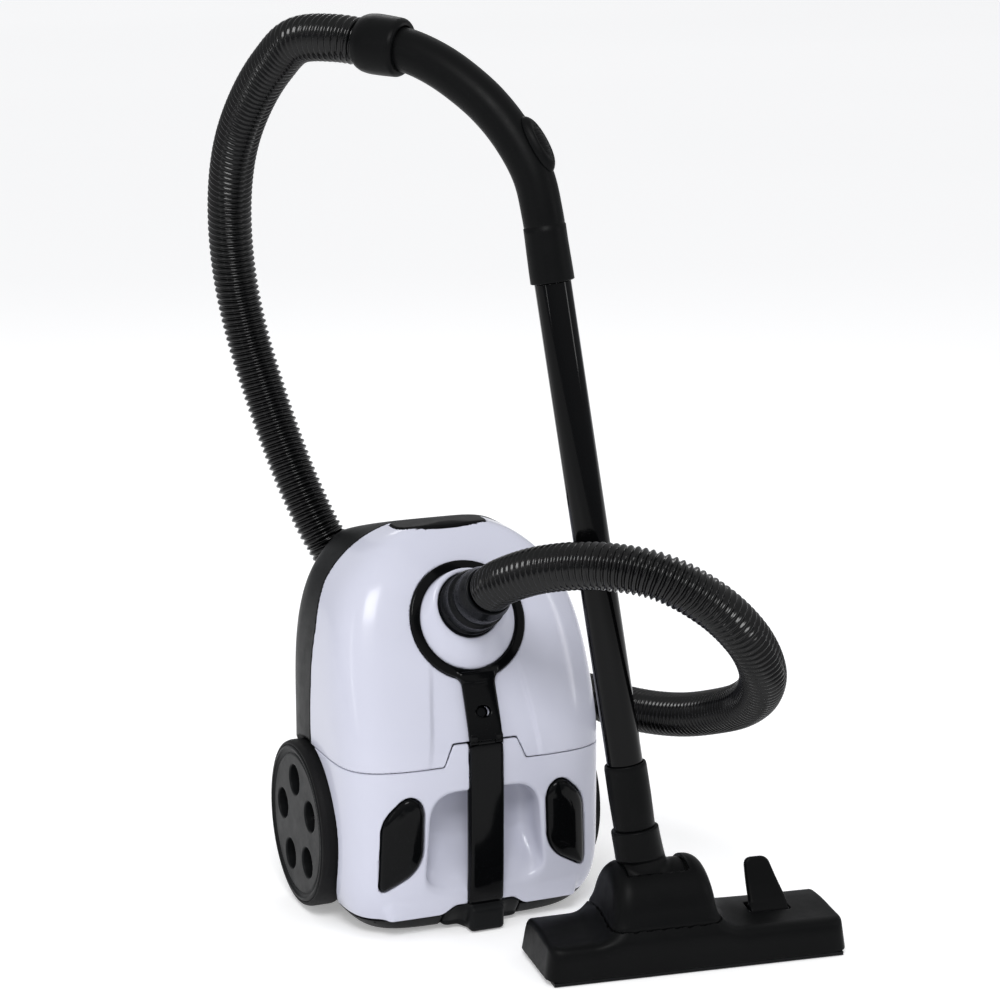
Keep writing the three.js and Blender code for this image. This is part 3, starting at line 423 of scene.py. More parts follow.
def surface(name, field, low, high, cell, material, settle=4):
    """A closed mesh of the shape where the field is below zero, its points moved onto the surface."""
    axes = [np.arange(low[i] - cell, high[i] + 2 * cell, cell) for i in range(3)]
    f = np.broadcast_to(field(axes[0][:, None, None], axes[1][None, :, None], axes[2][None, None, :]),
                        tuple(len(a) for a in axes)).astype(np.float32)
    n = [len(a) - 1 for a in axes]
    part = [f[c[0]:c[0] + n[0], c[1]:c[1] + n[1], c[2]:c[2] + n[2]] for c in CORNERS]
    below = [p < 0 for p in part]
    active = np.logical_or.reduce(below) & ~np.logical_and.reduce(below)
    cells = np.argwhere(active)
    number = np.full(active.shape, -1, np.int64)
    number[active] = np.arange(len(cells))
    at = [p[active] for p in part]
    total = np.zeros((len(cells), 3))
    hits = np.zeros(len(cells))
    for a, b in EDGES:
        crossing = (at[a] < 0) != (at[b] < 0)
        t = at[a][crossing] / (at[a][crossing] - at[b][crossing])
        ca, cb = np.array(CORNERS[a], float), np.array(CORNERS[b], float)
        total[crossing] += ca + t[:, None] * (cb - ca)
        hits[crossing] += 1
    start = np.array([a[0] for a in axes])
    points = start + (cells + total / hits[:, None]) * cell
    faces = []
    for axis in range(3):
        others = [i for i in range(3) if i != axis]
        one = [slice(None)] * 3
        two = [slice(None)] * 3
        one[axis], two[axis] = slice(0, -1), slice(1, None)
        a, b = f[tuple(one)] < 0, f[tuple(two)] < 0
        change = np.argwhere(a != b)
        keep = np.all((change[:, others] > 0) & (change[:, others] < np.array(f.shape)[others] - 1), axis=1)
        change = change[keep]
        quad = []
        for d0, d1 in ((-1, -1), (0, -1), (0, 0), (-1, 0)):
            c = change.copy()
            c[:, others[0]] += d0
            c[:, others[1]] += d1
            quad.append(number[tuple(c.T)])
        quad = np.stack(quad, 1)
        inside_first = a[tuple(change.T)]
        flip = ~inside_first if axis != 1 else inside_first
        quad[flip] = quad[flip][:, ::-1]
        faces.append(quad)
    faces = np.vstack(faces)
    for _ in range(settle):
        value, g = value_and_gradient(field, points)
        size = np.maximum((g * g).sum(1), 0.05)
        step = g * (value / size)[:, None]
        reach = np.linalg.norm(step, axis=1)
        limit = 0.5 * cell
        step *= np.minimum(1, limit / np.maximum(reach, 1e-9))[:, None]
        points = points - step
    _, g = value_and_gradient(field, points)
    normals = g / np.maximum(np.linalg.norm(g, axis=1), 1e-9)[:, None]
    return make_object(name, points, faces, material, normals)


def outline_field(points, cell=0.5, margin=30):
    """Distance to a closed outline, as a function of two arrays, read from a fine table."""
    p = np.asarray(points, float)
    low, high = p.min(0) - margin, p.max(0) + margin
    a = np.arange(low[0], high[0], cell)
    b = np.arange(low[1], high[1], cell)
    grid = np.stack(np.meshgrid(a, b, indexing="ij"), -1)
    nearest = np.full(grid.shape[:2], 1e9)
    inside = np.zeros(grid.shape[:2], bool)
    for q, r in zip(p, np.roll(p, -1, 0)):
        e = r - q
        size = e @ e
        if size < 1e-12:
            continue
        t = np.clip(((grid - q) @ e) / size, 0, 1)
        nearest = np.minimum(nearest, np.linalg.norm(grid - q - t[..., None] * e, axis=-1))
        crosses = (q[1] > grid[..., 1]) != (r[1] > grid[..., 1])
        if abs(e[1]) > 1e-12:
            at = q[0] + (grid[..., 1] - q[1]) / e[1] * e[0]
            inside ^= crosses & (grid[..., 0] < at)
    table = np.where(inside, -nearest, nearest)

    def look_up(u, v):
        u, v = np.broadcast_arrays(u, v)
        i = np.clip((u - low[0]) / cell, 0, len(a) - 1.001)
        j = np.clip((v - low[1]) / cell, 0, len(b) - 1.001)
        i0, j0 = i.astype(int), j.astype(int)
        s, t = i - i0, j - j0
        return (table[i0, j0] * (1 - s) * (1 - t) + table[i0 + 1, j0] * s * (1 - t)
                + table[i0, j0 + 1] * (1 - s) * t + table[i0 + 1, j0 + 1] * s * t)
    return look_up


def sculpted(name, field, low, high, cell, material, mount, *nodes, slot):
    """A piece drawn by a distance field between two corners, riding on a body in the CAD nodes' place."""
    return show(surface(name, field, low, high, cell, material), mount, *nodes, slot=slot)


# ---- the body's outer form, as the CAD has it ----
HALF_WIDTH, WIDEST_Z = 128, 120
FRONT_Y, BACK_Y = -94, 106
TOP_Z = 362.8
SQUARENESS = 5.0  # the power of the superellipse in every level section
FACE_SLOPE, FACE_BEND, FACE_FOOT_Z = 0.43, 8, 182


def half_width(z):
    """Half the canister's width: one superellipse above its widest place and one below."""
    reach = np.where(z > WIDEST_Z, 244.0, 136.0)
    power = np.where(z > WIDEST_Z, 4.5, 6.0)
    t = np.minimum(np.abs(z - WIDEST_Z) / reach, 0.9995)
    return HALF_WIDTH * (1 - t ** power) ** 0.4545


def front_face(z):
    """The y of the lid side, which leans back above the hinge and curls in at both ends."""
    slope = FACE_SLOPE * FACE_BEND * np.logaddexp(0, (z - FACE_FOOT_Z) / FACE_BEND)
    curl = 18 * np.maximum((z - 280) / 82, 0) ** 3
    return FRONT_Y + slope + curl + 26 * np.maximum((90 - z) / 90, 0) ** 4


def back_face(z):
    """The y of the underside, which curls in at both ends."""
    top = 6 * np.maximum((z - 290) / 54, 0) ** 2 + 65 * np.maximum((z - 342) / 20, 0) ** 1.2
    return BACK_Y - top - 34 * np.maximum((90 - z) / 90, 0) ** 3


def body(x, y, z):
    """Distance from the canister's outer form, below zero inside it."""
    h, n = 0.5, SQUARENESS
    a, front, back = half_width(z), front_face(z), back_face(z)
    da = (half_width(z + h) - half_width(z - h)) / (2 * h)
    df = (front_face(z + h) - front_face(z - h)) / (2 * h)
    db = (back_face(z + h) - back_face(z - h)) / (2 * h)
    middle, depth = (front + back) / 2, (back - front) / 2
    p = np.abs(x) / a
    q = np.abs(y - middle) / depth
    size = np.maximum((p ** n + q ** n) ** (1 / n), 0.25)
    px, qy = (p / size) ** (n - 1), (q / size) ** (n - 1)
    gz = px * (-p * da / a) + qy * ((-np.sign(y - middle) * (df + db) / 2 - q * (db - df) / 2) / depth)
    steep = np.sqrt((px / a) ** 2 + (qy / depth) ** 2 + gz ** 2)
    d = (size - 1) / steep
    return smax(smax(d, z - TOP_Z, 5.0), -z, 7.0)


LID_WALL = 3.1
COVER_WALL = 3.1
BASE_WALL = 3.7
SEAM_Y = 22.0
SEAM_BACK = 14.0  # how far the seam moves back, from SEAM_BEND_Z up
SEAM_BEND_Z = 270
SEAM_GAP = 0.4
SPLIT_LOW, SPLIT_HIGH = 160, 180  # the covers' seam at the sides, and beside the band
SPLIT_X, SPLIT_RUN = 40, 9  # where the step between them starts, and its width
SPLIT_TILT = 0.4104  # turns the step's height into a distance
SPLIT_GAP = 0.35
WHEEL_Y, WHEEL_Z = 34.0, 80.5
WHEEL_ROOM_R, WHEEL_ROOM_X = 81, 109  # the wheel arch: its radius, and its inner wall
AXLE_HOLE_R = 6.3
HINGE_Y, HINGE_Z = -93.7, 180.0
KNUCKLE_R = 2.75
KNUCKLE_ROOM = (16.6, 3.6)  # half the length and the radius of the covers' notch for the hinge
PIN_BOSS_Y = -94.2
CASTER_Z = 310
RING_R = 50.7
RING_CENTRE = np.array([0, -51.0, 284.0])
FACE_OUT = np.array([0, -0.918446, 0.395546])
FACE_UP = np.array([0, 0.395546, 0.918446])
INLET = np.array([0, -55.4, 299.0])
INLET_OUT = np.array([0, -0.891007, 0.453990])
INDICATOR = np.array([0, -83.0, 205.0])
TUBE_LOW = np.array([90, -195.0, 179.0])
TUBE_HIGH = np.array([43, -140.0, 600.0])
WAND_UP = unit(TUBE_HIGH - TUBE_LOW)


def seam_y(z):
    """The seam between the white covers and the dark base, which moves back near the top."""
    return SEAM_Y + SEAM_BACK * np.clip((z - SEAM_BEND_Z) / 40, 0, 1)


def split_distance(x, z):
    """Distance above the seam, with its corners a little rounded."""
    step = (SPLIT_HIGH - SPLIT_LOW) * (SPLIT_X - np.abs(x)) / SPLIT_RUN
    ramp = (z - SPLIT_LOW - step) * SPLIT_TILT
    return smin(z - SPLIT_LOW, smax(z - SPLIT_HIGH, ramp, 2.0), 2.0)


def facing(y, z):
    """Coordinates in the lid's sloping face: out of it and up it."""
    out = (y - RING_CENTRE[1]) * FACE_OUT[1] + (z - RING_CENTRE[2]) * FACE_OUT[2]
    up = (y - RING_CENTRE[1]) * FACE_UP[1] + (z - RING_CENTRE[2]) * FACE_UP[2]
    return out, up


def about_inlet(x, y, z):
    """Distance along the inlet's axis, and from it."""
    along = (y - INLET[1]) * INLET_OUT[1] + (z - INLET[2]) * INLET_OUT[2]
    across = (y - INLET[1]) * -INLET_OUT[2] + (z - INLET[2]) * INLET_OUT[1]
    return along, np.hypot(x, across)


def shallow_channel(x, y, z):
    """How far the lid's face is sunk beside the band."""
    edge = 43 + 11 * np.clip((240 - z) / 78, -0.6, 1)
    fade = smoothstep((262 - z) / 42) * (0.35 + 0.65 * smoothstep((z - 158) / 36))
    side = smoothstep((edge - np.abs(x)) / 6.5 + 0.5)
    return 2.6 * fade * side * np.where(y < 0, 1.0, 0.0)


def lid_outer(x, y, z):
    d = body(x, y, z) + shallow_channel(x, y, z)
    out, up = facing(y, z)
    t = np.clip((out + 3) / 12, 0, 1.2)
    cone = (np.hypot(x, up - 12.5 * t) - (47.5 - 12.5 * t)) * 0.68
    cone = smax(cone, out - 9, 2.5)
    cone = smax(cone, -12 - out, 2.0)
    return smin(d, cone, 2.5)


def hinge_barrel(x, y, z, half, radius):
    return np.maximum(np.hypot(y - HINGE_Y, z - HINGE_Z) - radius, np.abs(x) - half)


CATCH_HALF, CATCH_BACK = 45, 32.4


def catch_outline(x, y, grow=0.0):
    front = -1.5 + 9 * (np.abs(x) / 43) ** 3
    return smax(smax(np.abs(x) - CATCH_HALF, front - y, 9.0), y - CATCH_BACK, 3.0) - grow


LID_FOOT_R = 115.3  # below the hinge the lid's rear edge is an arc round the pin, so that it can swing


def lid(x, y, z):
    inner = body(x, y, z) + shallow_channel(x, y, z) + LID_WALL
    out, up = facing(y, z)
    rim = np.hypot(x, up)
    backing = np.maximum(np.maximum(42 - rim, rim - 59), np.maximum(-8 - out, out - 4))
    cone_back = np.maximum(rim - 48, -7 - out)
    inner = np.maximum(inner, -np.minimum(backing, cone_back))
    d = smax(lid_outer(x, y, z), -inner, 1.0)
    groove = smax(np.abs(rim - RING_R) - 4.8, -4.8 - out, 0.8)
    d = smax(d, -groove, 1.0)
    along, across = about_inlet(x, y, z)
    d = smax(d, -smax(across - 30, -60 - along, 1.0), 2.0)
    catch = smax(catch_outline(x, y, 0.45), 330 - z, 1.0)
    d = smax(d, -catch, 0.9)
    hole = np.hypot(x, (y - INDICATOR[1]) * FACE_UP[1] + (z - INDICATOR[2]) * FACE_UP[2]) - 7
    d = smax(d, -hole, 0.6)
    d = smax(d, -hinge_barrel(x, y, z, *KNUCKLE_ROOM), 0.6)
    d = smax(d, SPLIT_GAP - split_distance(x, z), 0.9)
    foot = np.hypot(y - HINGE_Y, z - HINGE_Z) - LID_FOOT_R
    return smax(d, np.where(z < HINGE_Z, foot, y - seam_y(z) + SEAM_GAP), 1.0)


# ---- black strip and ring ----
BAND_HALF, BAND_PROUD, BAND_SUNK = 16, 4.5, 2.2


def band_section(x, y, z):
    """The black strip's distances through its thickness, and past its sides."""
    face = front_face(z)
    crown = 0.8 * (1 - (x / BAND_HALF) ** 2)
    through = np.maximum(face - BAND_PROUD - crown * 0.6 - y, y - face - BAND_SUNK) * 0.93
    return through, np.abs(x) - BAND_HALF


def upper_strip(x, y, z):
    """The strip on the lid, from the hinge up to the ring."""
    through, side = band_section(x, y, z)
    d = smax(through, side, 2.6)
    d = smax(d, HINGE_Z + SPLIT_GAP - z, 0.8)
    out, up = facing(y, z)
    return smax(d, up + 50, 2.0)


def ring(x, y, z):
    out, up = facing(y, z)
    rim = np.hypot(x, up)
    top = smax(body(x, y, z) - 2.4, out - 3.4, 1.0)
    return smax(smax(np.abs(rim - RING_R) - 4.5, top, 1.6), -4.6 - out, 0.6)


def ring_and_strip(x, y, z):
    """The ring and its strip as one piece, with the bag gauge's window and the hinge's ears."""
    d = smin(ring(x, y, z), upper_strip(x, y, z), 7.0)
    along = (y - INDICATOR[1]) * FACE_OUT[1] + (z - INDICATOR[2]) * FACE_OUT[2]
    across = (y - INDICATOR[1]) * FACE_UP[1] + (z - INDICATOR[2]) * FACE_UP[2]
    hole = np.hypot(x / 1.1, across / 0.82) - 6.6
    d = smax(d, -smax(hole, -20 - along, 1.0), 1.4)
    d = smax(d, -hinge_barrel(x, y, z, 20, 3.3), 0.5)
    from_ear = np.abs(x) - 12.3
    ears = hinge_barrel(from_ear, y, z, 3.7, KNUCKLE_R)
    web = rounded_box(np.abs(from_ear) - 3.7, np.abs(y - PIN_BOSS_Y) - 1.6, np.abs(z - 183.5) - 3.4, 0.6)
    return smin(d, np.minimum(ears, web), 0.8)


def carry_handle(x, y, z):
    """The lower strip, which bridges the finger recess."""
    through, side = band_section(x, y, z)
    strip = smax(through, side, 2.8)
    grip = rounded_box(np.abs(x) - BAND_HALF, np.abs(y + 89.5) - 5.0, np.abs(z - 87) - 59, 3.4)
    face = front_face(z) - BAND_PROUD - y
    d = smin(strip, smax(grip, face, 1.5), 5.0)
    d = smax(d, z - (HINGE_Z - SEAM_GAP), 0.8)
    d = smax(d, 22 - z, 1.5)
    d = smax(d, -hinge_barrel(x, y, z, 20, 3.5), 0.5)
    web = rounded_box(np.abs(x) - 8.2, np.abs(y - PIN_BOSS_Y) - 1.6, np.abs(z - 176.5) - 3.4, 0.6)
    return smin(d, np.minimum(hinge_barrel(x, y, z, 8.2, KNUCKLE_R), web), 0.8)


# ---- rear cover ----
def corner(a, b, c, n=10):
    """Points on a curve from a to c that bends towards b, without a."""
    t = (np.arange(1, n + 1) / n)[:, None]
    a, b, c = (np.array(v, float) for v in (a, b, c))
    return (1 - t) ** 2 * a + 2 * t * (1 - t) * b + t * t * c


def leaf_points():
    """The right foot button's outline in x and z, as the CAD draws it."""
    stretches = [
        [(66, 132)], corner((66, 132), (61, 128), (60, 118)),
        [(61, 84)], corner((61, 84), (63, 69), (76, 60)),
        [(95, 49)], corner((95, 49), (101, 46), (101, 56)),
        [(99, 104)], corner((99, 104), (98, 118), (86, 128)), corner((86, 128), (75, 140), (66, 132)),
    ]
    return np.vstack(stretches)


LEAF = outline_field(leaf_points())
LEAF_GAP = 0.9
POCKET_DEPTH = 14


def lower_edge(x):
    """Height of the white cover's bottom edge, which climbs towards the black strip."""
    return 17.6 + 8.4 * smoothstep((44 - np.abs(x)) / 18)


def cover_outer(x, y, z):
    d = body(x, y, z)
    foot = rounded_box(np.abs(x) - 93, np.abs(y + 70) - 18.5, np.abs(z - 25) - 9, 6.0)
    return smin(d, foot, 7.0)


def recess(x, y, z):
    """The finger recess under the carry handle."""
    half = 52 + 7 * np.clip((132 - z) / 94, 0, 1)
    wall = smax(np.abs(x) - half, np.abs(z - 86.5) - 49, 26.0)
    floor = -60 - 27 * smoothstep((88 - z) / 48)
    return smax(wall, (y - floor) * 0.82, 13.0)


def wheel_room(x, y, z):
    return smax(np.hypot(y - WHEEL_Y, z - WHEEL_Z) - WHEEL_ROOM_R, WHEEL_ROOM_X - np.abs(x), 1.5)


def rear_cover(x, y, z):
    outer = cover_outer(x, y, z)
    shape = body(x, y, z)
    scoop = recess(x, y, z)
    leaf = LEAF(np.abs(x), z)
    past_leaf, past_floor = leaf - LEAF_GAP, -(shape + POCKET_DEPTH)
    arch = wheel_room(x, y, z)
    d = smax(outer, -scoop, 4.0)
    d = smax(d, -smax(past_leaf, past_floor, 2.0), 1.2)
    d = smax(d, -arch, 2.2)
    hollow = shape + COVER_WALL
    for wall in (scoop - 0.4, np.maximum(past_leaf, past_floor), arch):
        hollow = np.maximum(hollow, COVER_WALL - wall)
    d = smax(d, -hollow, 0.8)
    d = smax(d, SPLIT_GAP + split_distance(x, z), 0.9)
    d = smax(d, y - (SEAM_Y - SEAM_GAP), 1.0)
    d = smax(d, lower_edge(x) + SEAM_GAP - z, 1.4)
    slot = smax(np.abs(x) - 16.4, np.maximum(-y - 200, y - front_face(z) - 2.5), 0.6)
    d = smax(d, -slot, 0.9)
    return smax(d, -hinge_barrel(x, y, z, *KNUCKLE_ROOM), 0.5)


def pedal(x, y, z):
    """A foot button, which follows the body and swells out of it."""
    shape = body(x, y, z)
    leaf = LEAF(np.abs(x), z)
    dome = shape - 4.5 + 2.2 * smoothstep((leaf + 14) / 14)
    return smax(smax(leaf, dome, 5.5), -(shape + 8), 1.0)


# ---- base shell ----
def base_shell(x, y, z):
    shape = body(x, y, z)
    panel = smax(smax(np.abs(x) - 88, np.abs(z - 178) - 92, 24.0), (back_face(z) - 1.2) - y, 1.0)
    outer = smax(shape, -panel, 1.6)
    hollow = shape + BASE_WALL
    arch = wheel_room(x, y, z)
    hollow = np.maximum(hollow, BASE_WALL - arch)
    from_caster, from_axle = np.hypot(x, z - CASTER_Z), np.hypot(y - WHEEL_Y, z - WHEEL_Z)
    well = smax(from_caster - 31, 88 - y, 2.0)
    hollow = np.maximum(hollow, -np.maximum(from_caster - 34.7, 84.3 - y))
    boss = np.maximum(from_axle - 13, np.maximum(78 - np.abs(x), np.abs(x) - 108))
    d = smax(outer, -arch, 2.2)
    d = smax(d, -well, 1.8)
    d = smax(d, -hollow, 0.8)
    d = smin(d, boss, 1.5)
    d = smax(d, -np.maximum(from_axle - AXLE_HOLE_R, 60 - np.abs(x)), 0.5)
    region = smin(seam_y(z) - y, z - lower_edge(x) + 1.0, 2.0)
    d = smax(d, region, 1.0)
    grille = smax(smax(np.abs(x) - 52, np.abs(z - 120) - 32, 1.0), 96 - y, 1.0)
    outlet = smax(np.hypot(x + 60, z - 62) - 14, 90 - y, 1.0)
    stem = np.maximum(from_caster - 5.4, 55 - y)
    bumper_room = np.maximum(np.abs(x) - 38, np.maximum(z - 40, y + 62))
    for tool in (grille, outlet, stem, bumper_room):
        d = smax(d, -tool, 0.8)
    return d


def bumper(x, y, z):
    """The dark foot below the strip, with a nose that the canister stands on."""
    face = front_face(np.maximum(z, 8)) - 3.0
    block = smax(smax(np.abs(x) - 37, face - y, 6.0), y + 64, 2.0)
    block = smax(block, z - lower_edge(x) + 0.2, 1.2)
    nose = rounded_box(np.abs(x) - 17, np.abs(y + 84) - 14, np.abs(z - 12) - 12, 5.0)
    d = smin(smax(block, 3 - z, 4.0), nose, 8.0)
    return smax(d, 0.2 - z, 2.0)


def catch(x, y, z):
    """The catch in the lid's top, a curved plate in the body's own shape."""
    shape = body(x, y, z)
    return smax(smax(catch_outline(x, y), shape - 0.9, 1.6), -(shape + 4.5), 0.8)


def build_casing():
    sculpted("lid", lid, (-129, -97, 158), (129, 37, 364), 1.75, WHITE, "lid", "lid_shell",
             slot="white_plastic")
    sculpted("rear_cover_skin", rear_cover, (-129, -99, 9), (129, 22, 184), 1.75, WHITE, "canister",
             "rear_cover", slot="white_plastic")
    sculpted("base", base_shell, (-129, -80, -1), (129, 107, 364), 2.1, DARK, "canister", "base_shell",
             slot="dark_plastic")
    sculpted("inlet_ring_and_strip", ring_and_strip, (-57, -101, 179), (57, -22, 338), 1.2, BLACK_GLOSS,
             "lid", "ring_trim", "upper_band", slot="black_gloss")
    sculpted("carry_handle_strap", carry_handle, (-17, -101, 20), (17, -82, 181), 1.0, BLACK_GLOSS,
             "canister", "carry_handle", slot="black_gloss")
    sculpted("bumper", bumper, (-40, -101, 0), (40, -62, 27), 1.1, DARK, "canister", "rear_bumper",
             slot="dark_plastic")
    sculpted("catch", catch, (-46, -14, 340), (46, 34, 366), 0.9, MATTE, "lid_catch", "lid_latch",
             slot="dark_plastic")
    for name, side in (("power", -1), ("rewind", 1)):
        low, high = sorted((58 * side, 104 * side))
        sculpted(f"{name}_button", pedal, (low, -101, 46), (high, -60, 138), 1.0, BLACK_GLOSS,
                 f"{name}_button", f"{name}_pedal", slot="black_gloss")


# ---- wheels ----
TREAD = [[72.6, 114], [76.5, 113.4], [78, 116], [78, 134], [76.6, 138.4], [73.6, 139.2], [72.6, 137],
         [72.6, 114]]
HOLES, HOLE_R, HOLE_CIRCLE, FIRST_HOLE = 5, 14.2, 41, 0.45


def wheel_field(side):
    """The moulded wheel: a flat face with a raised rim and five ribbed holes."""
    def field(x, y, z):
        out = side * x
        r = np.hypot(y - WHEEL_Y, z - WHEEL_Z)
        angle = np.arctan2(z - WHEEL_Z, side * (y - WHEEL_Y))
        face = 138.4 + 1.5 * smoothstep((r - 68.5) / 2.0) - 1.2 * np.exp(-((r - 66.5) / 1.2) ** 2)
        d = smax(smax(r - 73.2, out - face, 2.5), 112 - out, 1.0)
        sector = 2 * np.pi / HOLES
        turned_by = np.mod(angle - FIRST_HOLE + sector / 2, sector) - sector / 2
        u, v = r * np.cos(turned_by) - HOLE_CIRCLE, r * np.sin(turned_by)
        hole = smax(np.hypot(u, v) - HOLE_R, 118 - out, 1.5)
        rib = smax(np.abs(v) - 1.3, out - 131, 0.8)
        d = smax(d, -smax(hole, -rib, 0.8), 1.8)
        bore = smax(r - AXLE_HOLE_R, out - 135, 0.5)
        return smax(d, -bore, 0.5)
    return field


def build_wheels():
    for name, side in (("left", -1), ("right", 1)):
        low, high = sorted((111 * side, 141 * side))
        sculpted(f"{name}_wheel_disc", wheel_field(side), (low, WHEEL_Y - 75, WHEEL_Z - 75),
                 (high, WHEEL_Y + 75, WHEEL_Z + 75), 1.25, DARK, f"{name}_wheel", f"wheel_{name}",
                 slot="dark_plastic")
        tread = turned(f"{name}_tread", TREAD, (0, WHEEL_Y, WHEEL_Z), (side, 0, 0), RUBBER, 128, 1.4)
        show(tread, f"{name}_wheel", f"wheel_tread_{name}", slot="black_rubber")


# ---- hose ----
HANDLE_LINE = [[4.8, 28], [10, 58], [19, 91], [39, 124], [62, 149], [87, 168], [111, 182], [136, 192],
               [156, 196.5], [170, 198]]
HOSE_ROUTE = [[0, -102.2, 322.9], [0, -131, 337.6], [18, -179, 358], [51, -225, 368], [92, -258, 362],
              [134, -271, 337], [170, -267, 303], [197, -246, 267], [214, -210, 235], [221, -166, 209],
              [220, -117, 189], [212, -68, 173], [200, -18, 163], [183, 31, 160], [161, 77, 165],
              [129, 113, 175], [87, 132, 189], [42, 141, 211], [-1, 145, 240], [-36, 151, 276],
              [-62, 163, 318], [-80, 179, 364], [-94, 196, 412], [-106, 210, 460], [-118, 219, 510],
              [-128, 221, 561], [-135, 214, 611], [-139, 198, 659], [-140, 171, 703], [-136, 134, 744],
              [-128, 97, 776], [-117, 60, 799]]
HOSE_CUTS = (9, 20)  # where the CAD cuts the hose, as places in the route
ROUTE_STEPS = 60
HOSE_R = 21.0
RIB_PITCH = 5.9
RIB_DEPTH = 2.9
RIB_STEPS = 8
HOSE_SIDES = 36
TUCK = 2.4  # how much thinner the hose is where it enters the cuff and the collar
HANDLE_WAY = np.array([-0.65, 0.76, 0])


def handle_point(reach, rise):
    """A point of the handle's middle line, from HANDLE_LINE's distances beyond the tube and above it."""
    p = TUBE_HIGH + unit(HANDLE_WAY) * reach
    return np.array([p[0], p[1], TUBE_HIGH[2] + rise])


HANDLE_END = handle_point(*HANDLE_LINE[-1])
HANDLE_OUT = unit(HANDLE_END - handle_point(*HANDLE_LINE[-2]))


def hose_line():
    ends = [HANDLE_END + HANDLE_OUT * out for out in (41.1, 15.1, 5.0)]
    return smooth_curve([*HOSE_ROUTE, *ends], ROUTE_STEPS)


def ribbed(name, line, s0, s1, tucked_start, tucked_end):
    """A stretch of hose from s0 to s1 along the line: spiral ribs, smooth and thinner at a tucked end."""
    step = RIB_PITCH / RIB_STEPS
    s = np.arange(s0, s1 + step / 2, step)
    points = spaced(line, s)
    phase = s[:, None] / RIB_PITCH + (np.arange(HOSE_SIDES) / HOSE_SIDES)[None]
    crest = (0.5 + 0.5 * np.cos(2 * np.pi * phase)) ** 0.7
    radius = HOSE_R - RIB_DEPTH * (1 - crest)
    for tucked, inward in ((tucked_start, s - s0), (tucked_end, s1 - s)):
        if tucked:
            radius = np.minimum(radius, HOSE_R - TUCK + 6 * smoothstep((inward - 4) / 6)[:, None])
    return swept(name, points, radius, HOSE, HOSE_SIDES, caps=False), points


def build_hose():
    line = hose_line()
    s = lengths_along(line)
    total = s[-1]
    first, second = (s[i * ROUTE_STEPS] for i in HOSE_CUTS)
    front, front_path = ribbed("hose_to_the_back", line, 0, second, True, False)
    upper, upper_path = ribbed("hose_to_the_handle", line, second, total, False, True)
    meet = spaced(line, np.array([first * 0.35, first * 1.15]))
    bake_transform(front)
    rise = spaced(line, np.array([second + 60, total - 30]))
    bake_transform(upper)
    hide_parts("hose_front", "hose_back")
    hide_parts("hose_upper")
    for piece, path in ((front, front_path), (upper, upper_path)):
        float(lengths_along(path)[-1] * MM)


def build_cuff():
    profile = [[20, -26], [24, -26], [24, -3], [28.6, -2.6], [28.8, 2], [27.2, 4.6], [26.3, 9], [26, 14.5],
               [27.9, 16.5], [28.2, 20.5], [26.6, 22.6], [24.9, 24], [24.7, 27], [25.6, 28.6], [25.4, 40],
               [24.4, 44], [22.6, 50], [22.2, 52.4], [19, 52.4], [19, 30], [20, -26]]
    show(turned("cuff", profile, INLET, INLET_OUT, GREY, 96, 1.1), "cuff", "hose_cuff", slot="grey_plastic")


# ---- wand ----
TUBE_R, TUBE_WALL = 16, 1.2
SLEEVE_LENGTH = 49.0  # the handle's thick lower end, which stops at a groove


def on_wand(s):
    return TUBE_LOW + WAND_UP * s


def build_tube():
    length = float(np.linalg.norm(TUBE_HIGH - TUBE_LOW))
    inner = TUBE_R - TUBE_WALL
    profile = [[inner, -35], [TUBE_R, -35], [TUBE_R, length], [inner, length], [inner, -35]]
    show(turned("tube", profile, TUBE_LOW, WAND_UP, ENAMEL, 96, 0.4), "wand", "extension_tube",
         slot="tube_enamel")


def build_handle():
    line = smooth_curve([TUBE_HIGH + WAND_UP * 0.5, *[handle_point(*p) for p in HANDLE_LINE]], 24)
    total = lengths_along(line)[-1]
    groove = SLEEVE_LENGTH + np.array([-0.8, -0.2, 0.2, 0.8])
    at = np.concatenate([[0, 0.6, 1.4], np.arange(3, 47, 4), groove, np.arange(52, total, 4), [total]])
    radius = 19.2 - 0.7 * smoothstep(at / 45)
    radius = np.where(at > SLEEVE_LENGTH - 0.1, 17.9 + 1.2 * smoothstep((at - 90) / 130), radius)
    radius = np.where(at < 0.5, 17.9, radius)
    radius = np.where(np.abs(at - SLEEVE_LENGTH) < 0.5, 17.7, radius)
    show(swept("handle", spaced(line, at), radius, MATTE, 64), "wand", "handle_grip", slot="dark_plastic")
    collar = [[19.8, -26], [23.4, -26.4], [25.6, -23], [26.2, -10], [26.4, 2], [25.4, 9.5], [23.2, 14.2],
              [21.4, 15.2], [20.6, 12], [20.6, 1], [19.8, -26]]
    show(turned("hose_collar", collar, HANDLE_END, HANDLE_OUT, MATTE, 96, 3.0), "hose_end", "handle_collar",
         slot="dark_plastic")


def build_socket():
    profile = [[16.2, -35], [14, -35.4], [14, -58], [18.4, -58], [18.8, -40], [19, -30], [18.9, -3],
               [18.3, 0.2], [16.4, 0.2], [16.2, -35]]
    show(turned("socket", profile, TUBE_LOW, WAND_UP, MATTE, 96, 0.9), "wand", "neck_socket",
         slot="grey_plastic")


